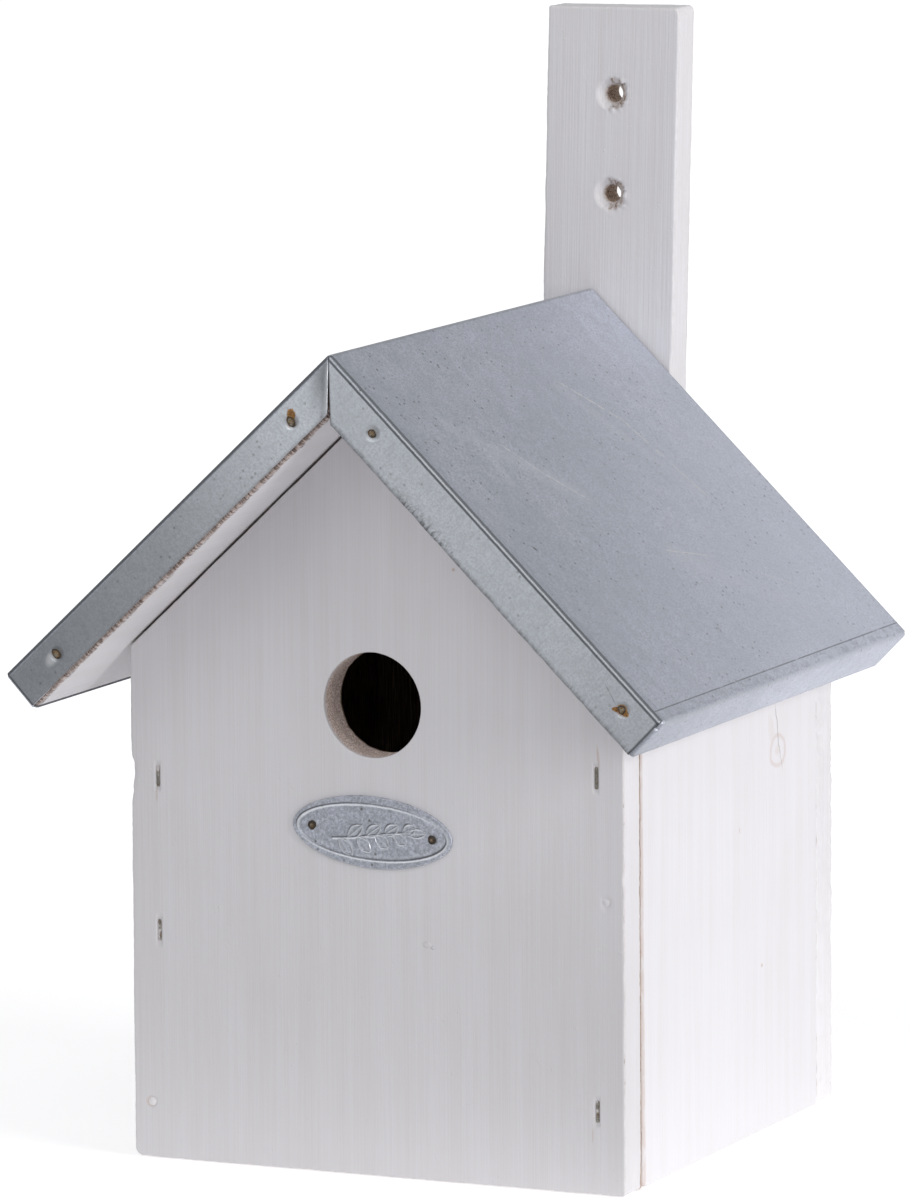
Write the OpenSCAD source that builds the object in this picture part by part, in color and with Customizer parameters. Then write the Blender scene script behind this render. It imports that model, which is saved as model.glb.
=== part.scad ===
// Bird nest box: six painted boards under a saddle roof with a folded galvanised
// sheet, hung from a wooden batten with two countersunk holes.
// X runs across the front, Y from the front to the back, and Z is up.
// The origin is the middle of the base, where the floor board meets the ground.

/* [Box] */
// Width across the front board
box_width = 163; // [140:1:190]
// Depth over the front and back boards
box_depth = 166; // [140:1:190]
// Height at which the undersides of the two roof slopes meet
peak_height = 234.9; // [200:0.1:260]
// Thickness of the front board
front_thickness = 13; // [9:0.5:15]
// Thickness of the back board
back_thickness = 13; // [9:0.5:15]
// Thickness of each side board
side_thickness = 13; // [9:0.5:15]
// Thickness of the floor board
floor_thickness = 12; // [9:0.5:15]

/* [Entrance] */
// Diameter of the entrance hole
entrance_diameter = 32; // [26:1:45]
// Height of the middle of the entrance hole
entrance_height = 144; // [135:1:165]
// Sideways place of the entrance hole, positive to the right
entrance_offset = -0.6; // [-10:0.1:10]

/* [Board joints] */
// Open joint between the front board and a side board, at the base
front_joint_base = 2.4; // [0.2:0.1:3]
// The same joint at the top of the side board
front_joint_top = 0.4; // [0.1:0.1:0.9]
// Joint between a side board and the back board
back_joint = 0.2; // [0.1:0.1:0.9]
// Joint round the floor board
floor_joint = 0.4; // [0.1:0.1:0.9]
// Seat of the roof boards on the back board and on the side boards
roof_seat = 0.1; // [0.05:0.05:0.5]
// Gap between the front board's left slope and the roof
left_gable_gap = 1.2; // [0.1:0.1:3]
// Gap between the front board's right slope and the roof
right_gable_gap = 0.3; // [0.1:0.1:3]

/* [Roof boards] */
// Pitch of the left slope in degrees
left_pitch = 43.2; // [38:0.1:48]
// Pitch of the right slope in degrees
right_pitch = 44.3; // [38:0.1:48]
// Thickness of the two roof boards
roof_board_thickness = 12.5; // [10:0.5:15]

/* [Roof sheet] */
// Length of the left slope from the ridge to the eave fold
left_slope = 149.5; // [135:0.5:180]
// Length of the right slope from the ridge to the eave fold
right_slope = 149.5; // [135:0.5:180]
// Reach of the sheet in front of the front board
front_overhang = 30.6; // [10:0.1:50]
// Distance from the sheet's back flange to the face that the batten lies on
back_setback = 0.2; // [0.1:0.1:2]
// Thickness of the galvanised sheet
sheet_thickness = 0.6; // [0.4:0.05:1]
// Gap between the sheet and the roof boards under it
sheet_gap = 0.3; // [0.1:0.05:0.9]
// Outside radius of the folds
fold_radius = 1.2; // [1.1:0.05:2]
// Outside radius along the ridge
ridge_radius = 1; // [0.5:0.05:1.2]
// Depth of the left slope's front and eave flanges
left_flange = 12.7; // [11:0.1:18]
// Depth of the right slope's front and eave flanges
right_flange = 14.7; // [11:0.1:18]
// Depth of the flanges behind the roof boards
back_flange = 11.5; // [10:0.1:12]
// Slit between the left and the right flange at the ridge
ridge_slit = 0.4; // [0.2:0.1:1]
// Length of the corner tabs behind the flanges
corner_tab = 9; // [5:0.5:10]
// Gap between a corner tab and its flange
tab_gap = 0.2; // [0.1:0.05:0.4]

/* [Batten] */
// Width of the hanging batten
batten_width = 44.8; // [35:0.2:60]
// Thickness of the hanging batten
batten_thickness = 12.5; // [10:0.5:20]
// Length of the hanging batten
batten_length = 317; // [300:0.5:380]
// Height of the batten's lower end above the ground
batten_foot = 25; // [5:1:30]
// Lean of the batten to the right in degrees
batten_lean = 1.5; // [0:0.1:3]
// Angle of the saw cut at the batten's top end in degrees
top_cut = 2.2; // [0:0.1:4]
// Distance from the batten's top end to the upper hanging hole
hanging_hole_inset = 27.5; // [20:0.5:35]
// Distance between the two hanging holes
hanging_hole_spacing = 31.5; // [20:0.5:40]
// Diameter of the hanging holes
hanging_hole_diameter = 5.5; // [4:0.1:8]
// Diameter of the countersinks of the hanging holes
countersink_diameter = 10.5; // [9:0.1:14]
// Diameter of the screws that hold the batten
screw_diameter = 3.5; // [3:0.1:4]
// Length of those screws with the head
screw_length = 20; // [16:0.5:20]
// Diameter of their countersunk heads
screw_head = 7; // [6:0.1:8]
// Width of the cross in the screw heads
screw_cross_width = 0.9; // [0.6:0.1:1.2]
// Length of that cross
screw_cross_length = 4; // [3:0.1:5]
// Depth of that cross
screw_cross_depth = 1.2; // [0.8:0.1:1.6]
// Height of the lowest screw above the batten's lower end
first_screw = 15; // [10:1:20]
// Distance from one batten screw to the next
screw_spacing = 75; // [60:1:80]
// Number of batten screws
screw_count = 3; // [2:1:3]

/* [Plaque] */
// Width of the oval plaque
plaque_width = 52.8; // [40:0.2:60]
// Height of the oval plaque
plaque_height = 22; // [16:0.2:24]
// Radius of the plaque's two ends
plaque_end_radius = 5.6; // [5:0.1:7]
// Thickness of the plaque
plaque_thickness = 0.8; // [0.5:0.1:1.2]
// Height of the raised line along the plaque's rim
plaque_rim = 0.4; // [0.2:0.1:0.8]
// Distance from the plaque's edge to the raised line, and the line's width
plaque_line = 0.9; // [0.6:0.1:1.2]
// Drop from the middle of the entrance hole to the middle of the plaque
plaque_drop = 38.6; // [36:0.2:45]
// Turn of the plaque in degrees, clockwise seen from the front
plaque_turn = 2.9; // [0:0.1:5]
// Distance between the plaque's two nails
plaque_nail_spacing = 39.6; // [28:0.2:42]
// Diameter of the heads of those nails
plaque_nail_head = 2.8; // [2.4:0.1:3.2]
// Height of those heads
plaque_nail_head_height = 0.7; // [0.5:0.1:1]
// Length of those nails under the head
plaque_nail_length = 10; // [8:0.5:14]

/* [Nails] */
// Diameter of the nail heads in the roof flanges
nail_head = 3.2; // [2.4:0.1:5]
// Height of those nail heads
nail_head_height = 0.9; // [0.5:0.1:1.2]
// Diameter of the nail shanks
nail_shank = 1.6; // [1.2:0.1:2]
// Length of the nails under the head
nail_length = 18; // [14:0.5:22]
// Distance from the ridge to the upper nail on the left, along the slope
left_upper_nail = 23.1; // [18:0.1:40]
// Distance from the eave to the lower nail on the left
left_lower_nail = 18.4; // [11.5:0.1:30]
// Distance from the ridge to the upper nail on the right
right_upper_nail = 26.1; // [18:0.1:40]
// Distance from the eave to the lower nail on the right
right_lower_nail = 11.8; // [11.5:0.1:30]
// Depth of the front nails below the sheet's top face
front_nail_drop = 6.6; // [5:0.1:8]
// Distance from the ridge to the upper nails of the back flanges
back_upper_nail = 52; // [50:0.5:70]
// Distance from the eave to the lower nails of the back flanges
back_lower_nail = 19.5; // [11.5:0.5:40]
// Diameter of the heads of the nails that hold the roof boards on the gables
roof_nail_head = 4; // [3:0.1:5]
// Height of those heads
roof_nail_head_height = 0.8; // [0.5:0.1:1.2]
// Length of those nails
roof_nail_length = 34; // [25:1:40]
// Distance from the peak to the first roof board nail, along the slope
first_roof_nail = 34; // [26:1:40]
// Distance from the first to the second roof board nail
roof_nail_spacing = 52; // [40:1:55]

/* [Staples] */
// Length of a staple's back
staple_back = 8; // [6:0.5:12]
// Length of a staple's legs
staple_leg = 24; // [18:0.5:28]
// Thickness of the staple wire
staple_wire = 1.2; // [0.8:0.1:1.4]
// Depth of a staple's back below the face of the board
staple_sink = 0.2; // [0:0.05:0.4]
// Height of the upper staple on the left, as a ratio of that side's height
left_upper_staple_ratio = 0.746; // [0.65:0.001:0.85]
// Height of the lower staple on the left, as a ratio of that side's height
left_lower_staple_ratio = 0.446; // [0.2:0.001:0.55]
// Height of the upper staple on the right, as a ratio of that side's height
right_upper_staple_ratio = 0.813; // [0.7:0.001:0.85]
// Height of the lower staple on the right, as a ratio of that side's height
right_lower_staple_ratio = 0.163; // [0.12:0.001:0.45]
// Distance from the front board's edge to its staples
staple_inset = 9; // [6:0.1:9]
// Height of the lowest staple in each edge of the back board
back_staple_height = 28; // [24:1:35]
// Drop from the top of a side to the highest staple in the back board
back_staple_drop = 30; // [25:1:40]
// Number of staples in each edge of the back board
back_staple_count = 3; // [2:1:4]
// Distance between the two staples on one side of the floor
floor_staple_spacing = 80; // [40:1:100]

/* [Pins] */
// Height of the pin on the left, as a ratio of that side's height
left_pin_ratio = 0.109; // [0.08:0.001:0.3]
// Height of the pin on the right, as a ratio of that side's height
right_pin_ratio = 0.572; // [0.4:0.001:0.65]
// Distance from the front board's edge to its pins
pin_inset = 6; // [4:0.1:8]
// Diameter of the pin heads
pin_head = 3; // [2.2:0.1:4]
// Diameter of the pin shanks
pin_shank = 1.4; // [1:0.1:1.8]
// Height of the pin heads
pin_head_height = 0.8; // [0.5:0.1:1.2]
// Length of the pins
pin_length = 26; // [20:0.5:30]

/* [Hidden] */

LEFT = -1;
RIGHT = 1;
SIDES = [LEFT, RIGHT];

// Round things have this many sides in a preview
$fn = 48;

// Colours
PAINT = [0.86, 0.85, 0.87];
ZINC = [0.60, 0.63, 0.66];
RUST = [0.55, 0.36, 0.20];
STEEL = [0.42, 0.41, 0.42];
BARE_WOOD = [0.72, 0.62, 0.50];

// Radial clearance of a nail, pin, staple or screw in its hole
fastener_fit = 0.05;
// Radial clearance of a nail in the thin sheet or in the plaque
sheet_hole_fit = 0.15;
// Extra length of a cut past the face that it opens
cut_past = 1;
// Longer than any part of the box
far = 600;

front_y = -box_depth / 2;
back_y = box_depth / 2;
left_x = -box_width / 2;
right_x = box_width / 2;

// Faces of the folded sheet: its top above the undersides of the roof boards,
// and its front and back in Y
sheet_top = roof_board_thickness + sheet_gap + sheet_thickness;
sheet_front = front_y - front_overhang;
sheet_back = back_y - back_setback;
// From the outside of a flange to the roof board, with the corner tab between them
flange_stack = 2 * sheet_thickness + tab_gap + sheet_gap;
board_front = sheet_front + flange_stack;
board_back = sheet_back - flange_stack;

function pitch(side) = side == LEFT ? left_pitch : right_pitch;
function slope_length(side) = side == LEFT ? left_slope : right_slope;
function flange_depth(side) = side == LEFT ? left_flange : right_flange;
function gable_gap(side) = side == LEFT ? left_gable_gap : right_gable_gap;

// Point in X and Z on a slope: run is the distance down the slope from the peak,
// and up is the height above the plane of the roof boards' undersides
function slope_point(side, run, up) = [
    side * (run * cos(pitch(side)) + up * sin(pitch(side))),
    peak_height - run * sin(pitch(side)) + up * cos(pitch(side))
];

// Height of a slope's plane at a distance out from the middle
function slope_height(side, out, up) =
    peak_height - out * tan(pitch(side)) + up / cos(pitch(side));

// Point where a plane above the left slope meets a plane above the right slope
function slopes_meet(left_up, right_up) =
    let (
        gap = right_up / cos(right_pitch) - left_up / cos(left_pitch),
        x = gap / (tan(left_pitch) + tan(right_pitch))
    )
    [x, peak_height + x * tan(left_pitch) + left_up / cos(left_pitch)];

ridge = slopes_meet(sheet_top, sheet_top);

// Run of the ridge line and of the eave fold on a slope
function ridge_run(side) =
    side * ridge[0] * cos(pitch(side)) - (ridge[1] - peak_height) * sin(pitch(side));
function eave_run(side) = ridge_run(side) + slope_length(side);

// Draws an outline in X and Z as a solid from Y = from to Y = to
module through_depth(from, to) {
    translate([0, to, 0])
        rotate([90, 0, 0])
            linear_extrude(to - from)
                children();
}

// Draws an outline in Y and Z as a solid from X = from to X = to
module through_width(from, to) {
    translate([from, 0, 0])
        rotate([90, 0, 90])
            linear_extrude(to - from)
                children();
}

// Puts a part that is drawn with X down the slope and Z outwards onto a slope
module on_slope(side) {
    mirror([side == LEFT ? 1 : 0, 0, 0])
        translate([0, 0, peak_height])
            rotate([0, pitch(side), 0])
                children();
}

// Puts a part that is drawn with Z outwards onto a face
module on_front(x, z) {
    translate([x, front_y, z]) rotate([90, 0, 0]) children();
}

module on_back(x, z) {
    translate([x, back_y, z]) rotate([-90, 0, 0]) children();
}

// Nail whose head rests on Z = 0 and whose shank points down
module nail(head, head_height, shank, length) {
    dome = (head * head / 4 + head_height * head_height) / (2 * head_height);
    intersection() {
        translate([0, 0, head_height - dome]) sphere(dome);
        cylinder(h = head_height, r = head / 2);
    }
    translate([0, 0, -length]) cylinder(h = length, r = shank / 2);
}

// Hole for a nail, from Z = past down to its tip
module nail_hole(shank, length, past, fit) {
    translate([0, 0, -length - fit])
        cylinder(h = length + fit + past, r = shank / 2 + fit);
}

// Nail with a thin flat head that ends flush with Z = 0
module flush_nail(head, head_height, shank, length) {
    translate([0, 0, -head_height]) cylinder(h = head_height, r = head / 2);
    translate([0, 0, -length]) cylinder(h = length - head_height / 2, r = shank / 2);
}

module flush_nail_hole(head, head_height, shank, length) {
    translate([0, 0, -head_height - fastener_fit])
        cylinder(h = head_height + fastener_fit + cut_past, r = head / 2 + fastener_fit);
    translate([0, 0, -length - fastener_fit])
        cylinder(h = length, r = shank / 2 + fastener_fit);
}

// Staple with its back along Y just under Z = 0 and its legs pointing down
module staple(fit = 0) {
    wire = staple_wire + 2 * fit;
    translate([-wire / 2, -staple_back / 2 - fit, -staple_sink - staple_wire - fit])
        cube([wire, staple_back + 2 * fit, staple_wire + fit + (fit > 0 ? cut_past : 0)]);
    for (end = [-1, 1])
        translate([-wire / 2, end * (staple_back - staple_wire) / 2 - wire / 2,
                   -staple_sink - staple_leg - fit])
            cube([wire, wire, staple_leg]);
}

/* Boards of the box */

// Outline of a gable board whose slopes lie below the roof by the two gaps
module gable_outline(left_gap, right_gap) {
    polygon([
        [left_x, 0],
        [right_x, 0],
        [right_x, slope_height(RIGHT, box_width / 2, -right_gap)],
        slopes_meet(-left_gap, -right_gap),
        [left_x, slope_height(LEFT, box_width / 2, -left_gap)]
    ]);
}

module front_board() {
    color(PAINT)
        difference() {
            through_depth(front_y, front_y + front_thickness)
                gable_outline(left_gable_gap, right_gable_gap);
            on_front(entrance_offset, entrance_height)
                translate([0, 0, -front_thickness - cut_past])
                    cylinder(h = front_thickness + 2 * cut_past, d = entrance_diameter);
            front_staples(LEFT, fastener_fit);
            front_staples(RIGHT, fastener_fit);
            front_pin_hole(LEFT);
            front_pin_hole(RIGHT);
            for (end = [-1, 1])
                plaque_nail_place(end)
                    nail_hole(nail_shank, plaque_nail_length, cut_past, fastener_fit);
            roof_nail_holes(front_y + front_thickness / 2);
        }
}

module back_board() {
    color(PAINT)
        difference() {
            through_depth(back_y - back_thickness, back_y) gable_outline(roof_seat, roof_seat);
            all_back_staples(fastener_fit);
            back_floor_staples(fastener_fit);
            batten_screw_holes();
            roof_nail_holes(back_y - back_thickness / 2);
        }
}

// Side board, with a bevelled top under the roof and a front end that is sawn
// slightly out of square, so that its joint opens towards the base
module side_board(side) {
    inner = box_width / 2 - side_thickness;
    outer = box_width / 2;
    front_base = front_y + front_thickness + front_joint_base;
    front_top = front_y + front_thickness + front_joint_top;
    back = back_y - back_thickness - back_joint;
    top = slope_height(side, inner, -roof_seat);
    intersection() {
        through_depth(front_y, back)
            polygon([
                [side * inner, 0],
                [side * outer, 0],
                [side * outer, slope_height(side, outer, -roof_seat)],
                [side * inner, top]
            ]);
        through_width(-far / 2, far / 2)
            polygon([[front_base, 0], [back, 0], [back, top], [front_top, top]]);
    }
}

module left_side_board() {
    color(PAINT)
        difference() {
            side_board(LEFT);
            front_staples(LEFT, fastener_fit);
            front_pin_hole(LEFT);
            back_staples_on(LEFT, fastener_fit);
            side_floor_staples(fastener_fit);
        }
}

module right_side_board() {
    color(PAINT)
        difference() {
            side_board(RIGHT);
            front_staples(RIGHT, fastener_fit);
            front_pin_hole(RIGHT);
            back_staples_on(RIGHT, fastener_fit);
        }
}

module floor_board() {
    inner = box_width / 2 - side_thickness - floor_joint;
    front = front_y + front_thickness + floor_joint;
    back = back_y - back_thickness - floor_joint;
    color(BARE_WOOD)
        difference() {
            translate([-inner, front, 0]) cube([2 * inner, back - front, floor_thickness]);
            back_floor_staples(fastener_fit);
            side_floor_staples(fastener_fit);
        }
}

/* Roof boards: the right one laps over the top end of the left one */

module left_roof_board() {
    run_end = eave_run(LEFT) - sheet_thickness - sheet_gap;
    color(PAINT)
        difference() {
            through_depth(board_front, board_back)
                polygon([
                    slopes_meet(0, 0),
                    slopes_meet(roof_board_thickness, 0),
                    slope_point(LEFT, run_end, roof_board_thickness),
                    slope_point(LEFT, run_end, 0)
                ]);
            front_flange_nail_holes(LEFT, fastener_fit);
            back_flange_nail_holes(LEFT, fastener_fit);
            roof_nail_holes(front_y + front_thickness / 2);
            roof_nail_holes(back_y - back_thickness / 2);
        }
}

module right_roof_board() {
    run_end = eave_run(RIGHT) - sheet_thickness - sheet_gap;
    color(PAINT)
        difference() {
            through_depth(board_front, board_back)
                polygon([
                    slopes_meet(roof_board_thickness, 0),
                    slopes_meet(roof_board_thickness, roof_board_thickness),
                    slope_point(RIGHT, run_end, roof_board_thickness),
                    slope_point(RIGHT, run_end, 0),
                    slopes_meet(0, 0)
                ]);
            front_flange_nail_holes(RIGHT, fastener_fit);
            back_flange_nail_holes(RIGHT, fastener_fit);
            roof_nail_holes(front_y + front_thickness / 2);
            roof_nail_holes(back_y - back_thickness / 2);
        }
}

/* Folded roof sheet: one blank with a ridge fold, flanges along its front, back and
   eaves, and a tab at each corner that wraps round behind the front or back flange */

// Outline with straight sides, a flat bottom and two round top corners
module round_top(left, right, bottom, top, radius) {
    translate([left, bottom]) square([right - left, top - radius - bottom]);
    translate([left + radius, bottom]) square([right - left - 2 * radius, top - bottom]);
    for (x = [left + radius, right - radius])
        translate([x, top - radius]) circle(radius);
}

// Section across a slope: front flange, pan and back flange
module channel_section(side) {
    inner_radius = fold_radius - sheet_thickness;
    difference() {
        round_top(sheet_front, sheet_back, sheet_top - flange_depth(side), sheet_top, fold_radius);
        round_top(sheet_front + sheet_thickness, sheet_back - sheet_thickness,
                  sheet_top - flange_depth(side) - cut_past, sheet_top - sheet_thickness,
                  inner_radius);
        translate([sheet_back - fold_radius, sheet_top - flange_depth(side) - cut_past])
            square([fold_radius + cut_past, flange_depth(side) + cut_past - back_flange]);
    }
}

// Everything on one side of the ridge, with a narrow lap past it that joins the
// two slopes and lies inside the slit and the ridge's round
module side_of_ridge(side) {
    lap = ridge_slit / 4;
    translate([side == LEFT ? ridge[0] + lap - far : ridge[0] - lap, -far / 2, 0])
        cube([far, far, far]);
}

module channel(side) {
    start = ridge_run(side) - far / 10;
    end = eave_run(side) - fold_radius;
    intersection() {
        on_slope(side)
            through_width(start, end)
                channel_section(side);
        side_of_ridge(side);
    }
}

// Quarter of a round fold, between the directions +X and +Y
module quarter_fold() {
    difference() {
        intersection() {
            circle(fold_radius);
            square(fold_radius);
        }
        circle(fold_radius - sheet_thickness);
    }
}

// Eave fold and flange, between the two corner tabs
module eave_flange(side) {
    end = eave_run(side);
    corner = sheet_thickness + tab_gap + fold_radius;
    bottom = sheet_top - flange_depth(side);
    on_slope(side)
        through_depth(sheet_front + corner, sheet_back - corner) {
            translate([end - fold_radius, sheet_top - fold_radius]) quarter_fold();
            translate([end - sheet_thickness, bottom])
                square([sheet_thickness, flange_depth(side) - fold_radius]);
        }
}

// Tab that goes on from the eave flange and turns in behind the front flange
module front_tab(side) {
    end = eave_run(side);
    face = sheet_front + sheet_thickness + tab_gap;
    on_slope(side)
        translate([0, 0, sheet_top - flange_depth(side)])
            linear_extrude(flange_depth(side) - fold_radius) {
                translate([end - fold_radius, face + fold_radius]) mirror([0, 1]) quarter_fold();
                translate([end - corner_tab, face])
                    square([corner_tab - fold_radius, sheet_thickness]);
            }
}

// The same tab behind the back flange, as shallow as that flange
module back_tab(side) {
    end = eave_run(side);
    face = sheet_back - sheet_thickness - tab_gap;
    on_slope(side) {
        translate([0, 0, sheet_top - flange_depth(side)])
            linear_extrude(flange_depth(side) - fold_radius)
                translate([end - fold_radius, face - fold_radius]) quarter_fold();
        translate([end - corner_tab, face - sheet_thickness, sheet_top - back_flange])
            cube([corner_tab - fold_radius, sheet_thickness, back_flange - fold_radius]);
    }
}

// Cuts the sharp ridge to its radius
module ridge_rounding() {
    middle = slopes_meet(sheet_top - ridge_radius, sheet_top - ridge_radius);
    reach = ridge_radius + cut_past;
    through_depth(sheet_front - cut_past, sheet_back + cut_past)
        difference() {
            polygon([
                middle,
                middle + reach * [-sin(left_pitch), cos(left_pitch)],
                slopes_meet(sheet_top + cut_past, sheet_top + cut_past),
                middle + reach * [sin(right_pitch), cos(right_pitch)]
            ]);
            translate(middle) circle(ridge_radius);
        }
}

// Slit that lets the left and the right flange fold down on their own. It ends
// a fold's radius inside the pan
module ridge_slits() {
    reach = 2 * fold_radius;
    for (y = [sheet_front - cut_past, sheet_back - reach])
        translate([ridge[0] - ridge_slit / 2, y, peak_height - far / 10])
            cube([ridge_slit, reach + cut_past, far / 5]);
}

module roof_sheet() {
    color(ZINC)
        difference() {
            union() {
                for (side = SIDES) {
                    channel(side);
                    eave_flange(side);
                    front_tab(side);
                    back_tab(side);
                }
            }
            ridge_rounding();
            ridge_slits();
            for (side = SIDES) {
                front_flange_nail_holes(side, sheet_hole_fit);
                back_flange_nail_holes(side, sheet_hole_fit);
            }
        }
}

/* Nails of the roof */

function upper_nail(side) = side == LEFT ? left_upper_nail : right_upper_nail;
function lower_nail(side) = side == LEFT ? left_lower_nail : right_lower_nail;

// Puts a part that is drawn with Z outwards at each front nail of a slope
module at_front_flange_nails(side) {
    for (run = [ridge_run(side) + upper_nail(side), eave_run(side) - lower_nail(side)]) {
        place = slope_point(side, run, sheet_top - front_nail_drop);
        translate([place[0], sheet_front, place[1]]) rotate([90, 0, 0]) children();
    }
}

module at_back_flange_nails(side) {
    for (run = [ridge_run(side) + back_upper_nail, eave_run(side) - back_lower_nail]) {
        place = slope_point(side, run, sheet_top - back_flange / 2);
        translate([place[0], sheet_back, place[1]]) rotate([-90, 0, 0]) children();
    }
}

module front_flange_nail_holes(side, fit) {
    at_front_flange_nails(side) nail_hole(nail_shank, nail_length, cut_past, fit);
}

module back_flange_nail_holes(side, fit) {
    at_back_flange_nails(side) nail_hole(nail_shank, nail_length, cut_past, fit);
}

module left_flange_nails() {
    color(RUST)
        at_front_flange_nails(LEFT)
            nail(nail_head, nail_head_height, nail_shank, nail_length);
}

module right_flange_nails() {
    color(RUST)
        at_front_flange_nails(RIGHT)
            nail(nail_head, nail_head_height, nail_shank, nail_length);
}

module back_flange_nails() {
    color(RUST)
        for (side = SIDES)
            at_back_flange_nails(side)
                nail(nail_head, nail_head_height, nail_shank, nail_length);
}

// Puts a part at each nail that goes through a roof board into a gable at Y = y
module at_roof_nails(y) {
    for (side = SIDES)
        on_slope(side)
            for (step = [0, 1])
                translate([first_roof_nail + step * roof_nail_spacing, y, roof_board_thickness])
                    children();
}

module roof_nail_holes(y) {
    at_roof_nails(y)
        flush_nail_hole(roof_nail_head, roof_nail_head_height, nail_shank, roof_nail_length);
}

module roof_board_nails() {
    color(STEEL)
        for (y = [front_y + front_thickness / 2, back_y - back_thickness / 2])
            at_roof_nails(y)
                flush_nail(roof_nail_head, roof_nail_head_height, nail_shank, roof_nail_length);
}

/* Staples and pins of the box */

// Height of a side's top edge
function side_height(side) = slope_height(side, box_width / 2, -roof_seat);

function staple_ratios(side) = side == LEFT
    ? [left_upper_staple_ratio, left_lower_staple_ratio]
    : [right_upper_staple_ratio, right_lower_staple_ratio];
function pin_ratio(side) = side == LEFT ? left_pin_ratio : right_pin_ratio;

// Place in X and Z of the pin on a side, and height of a staple in the back board
function pin_place(side) = [
    side * (box_width / 2 - pin_inset),
    side_height(side) * pin_ratio(side)
];
function back_staple_place(side, step) =
    back_staple_height
    + (side_height(side) - back_staple_drop - back_staple_height)
      * step / (back_staple_count - 1);

module front_staples(side, fit = 0) {
    for (ratio = staple_ratios(side))
        on_front(side * (box_width / 2 - staple_inset), side_height(side) * ratio)
            staple(fit);
}

module left_front_staples() {
    color(STEEL) front_staples(LEFT);
}

module right_front_staples() {
    color(STEEL) front_staples(RIGHT);
}

module front_pin_hole(side) {
    on_front(pin_place(side)[0], pin_place(side)[1])
        flush_nail_hole(pin_head, pin_head_height, pin_shank, pin_length);
}

module front_pins() {
    color(PAINT)
        for (side = SIDES)
            on_front(pin_place(side)[0], pin_place(side)[1])
                flush_nail(pin_head, pin_head_height, pin_shank, pin_length);
}

module back_staples_on(side, fit = 0) {
    for (step = [0:back_staple_count - 1])
        on_back(side * (box_width / 2 - side_thickness / 2), back_staple_place(side, step))
            staple(fit);
}

module all_back_staples(fit = 0) {
    for (side = SIDES)
        back_staples_on(side, fit);
}

module back_staples() {
    color(STEEL) all_back_staples();
}

// Staples through the back board into the floor, with their backs level
module back_floor_staples(fit = 0) {
    for (end = [-1, 1])
        on_back(end * floor_staple_spacing / 2, floor_thickness / 2)
            rotate([0, 0, 90]) staple(fit);
}

// Staples through the left side board into the floor, with their backs level
module side_floor_staples(fit = 0) {
    for (end = [-1, 1])
        translate([left_x, end * floor_staple_spacing / 2, floor_thickness / 2])
            rotate([0, -90, 0]) staple(fit);
}

module floor_staples() {
    color(STEEL) {
        back_floor_staples();
        side_floor_staples();
    }
}

/* Hanging batten */

// Puts a part that is drawn upwards from the batten's lower end onto the back
// board, leaning about the lowest screw
module on_batten() {
    translate([0, back_y, batten_foot + first_screw])
        rotate([0, batten_lean, 0])
            translate([0, 0, -first_screw])
                children();
}

function screw_height(step) = first_screw + step * screw_spacing;

// Puts a part that is drawn with Z outwards on the batten's rear face at each screw
module at_batten_screws() {
    on_batten()
        for (step = [0:screw_count - 1])
            translate([0, batten_thickness, screw_height(step)])
                rotate([-90, 0, 0])
                    children();
}

// Solid of a countersunk screw with its head flush with Z = 0
module screw_body(fit = 0) {
    cone = (screw_head - screw_diameter) / 2;
    rotate_extrude()
        polygon([
            [0, fit > 0 ? cut_past : 0],
            [screw_head / 2 + fit, fit > 0 ? cut_past : 0],
            [screw_head / 2 + fit, 0],
            [screw_diameter / 2 + fit, -cone],
            [screw_diameter / 2 + fit, -screw_length - fit],
            [0, -screw_length - fit]
        ]);
}

module batten_screw_holes() {
    at_batten_screws() screw_body(fastener_fit);
}

module batten_screws() {
    color(STEEL)
        at_batten_screws()
            difference() {
                screw_body();
                for (turn = [0, 90])
                    rotate([0, 0, turn])
                        translate([-screw_cross_length / 2, -screw_cross_width / 2,
                                   -screw_cross_depth])
                            cube([screw_cross_length, screw_cross_width,
                                  screw_cross_depth + cut_past]);
            }
}

// Straight hole with a countersink in the batten's front face
module hanging_hole() {
    sink = (countersink_diameter - hanging_hole_diameter) / 2;
    translate([0, -cut_past, 0])
        rotate([-90, 0, 0])
            cylinder(h = batten_thickness + 2 * cut_past, d = hanging_hole_diameter);
    rotate([-90, 0, 0])
        translate([0, 0, -cut_past])
            cylinder(h = sink + cut_past, d1 = countersink_diameter + 2 * cut_past,
                     d2 = hanging_hole_diameter);
}

module hanging_batten() {
    slant = batten_width / 2 * tan(top_cut);
    color(PAINT)
        difference() {
            on_batten()
                difference() {
                    through_depth(0, batten_thickness)
                        polygon([
                            [-batten_width / 2, 0],
                            [batten_width / 2, 0],
                            [batten_width / 2, batten_length + slant],
                            [-batten_width / 2, batten_length - slant]
                        ]);
                    for (step = [0, 1])
                        translate([0, 0, batten_length - hanging_hole_inset
                                         - step * hanging_hole_spacing])
                            hanging_hole();
                }
            batten_screw_holes();
        }
}

/* Oval plaque */

module on_plaque() {
    on_front(entrance_offset, entrance_height - plaque_drop)
        rotate([0, 0, -plaque_turn])
            children();
}

module plaque_nail_place(end) {
    on_plaque() translate([end * plaque_nail_spacing / 2, 0, 0]) children();
}

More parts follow.
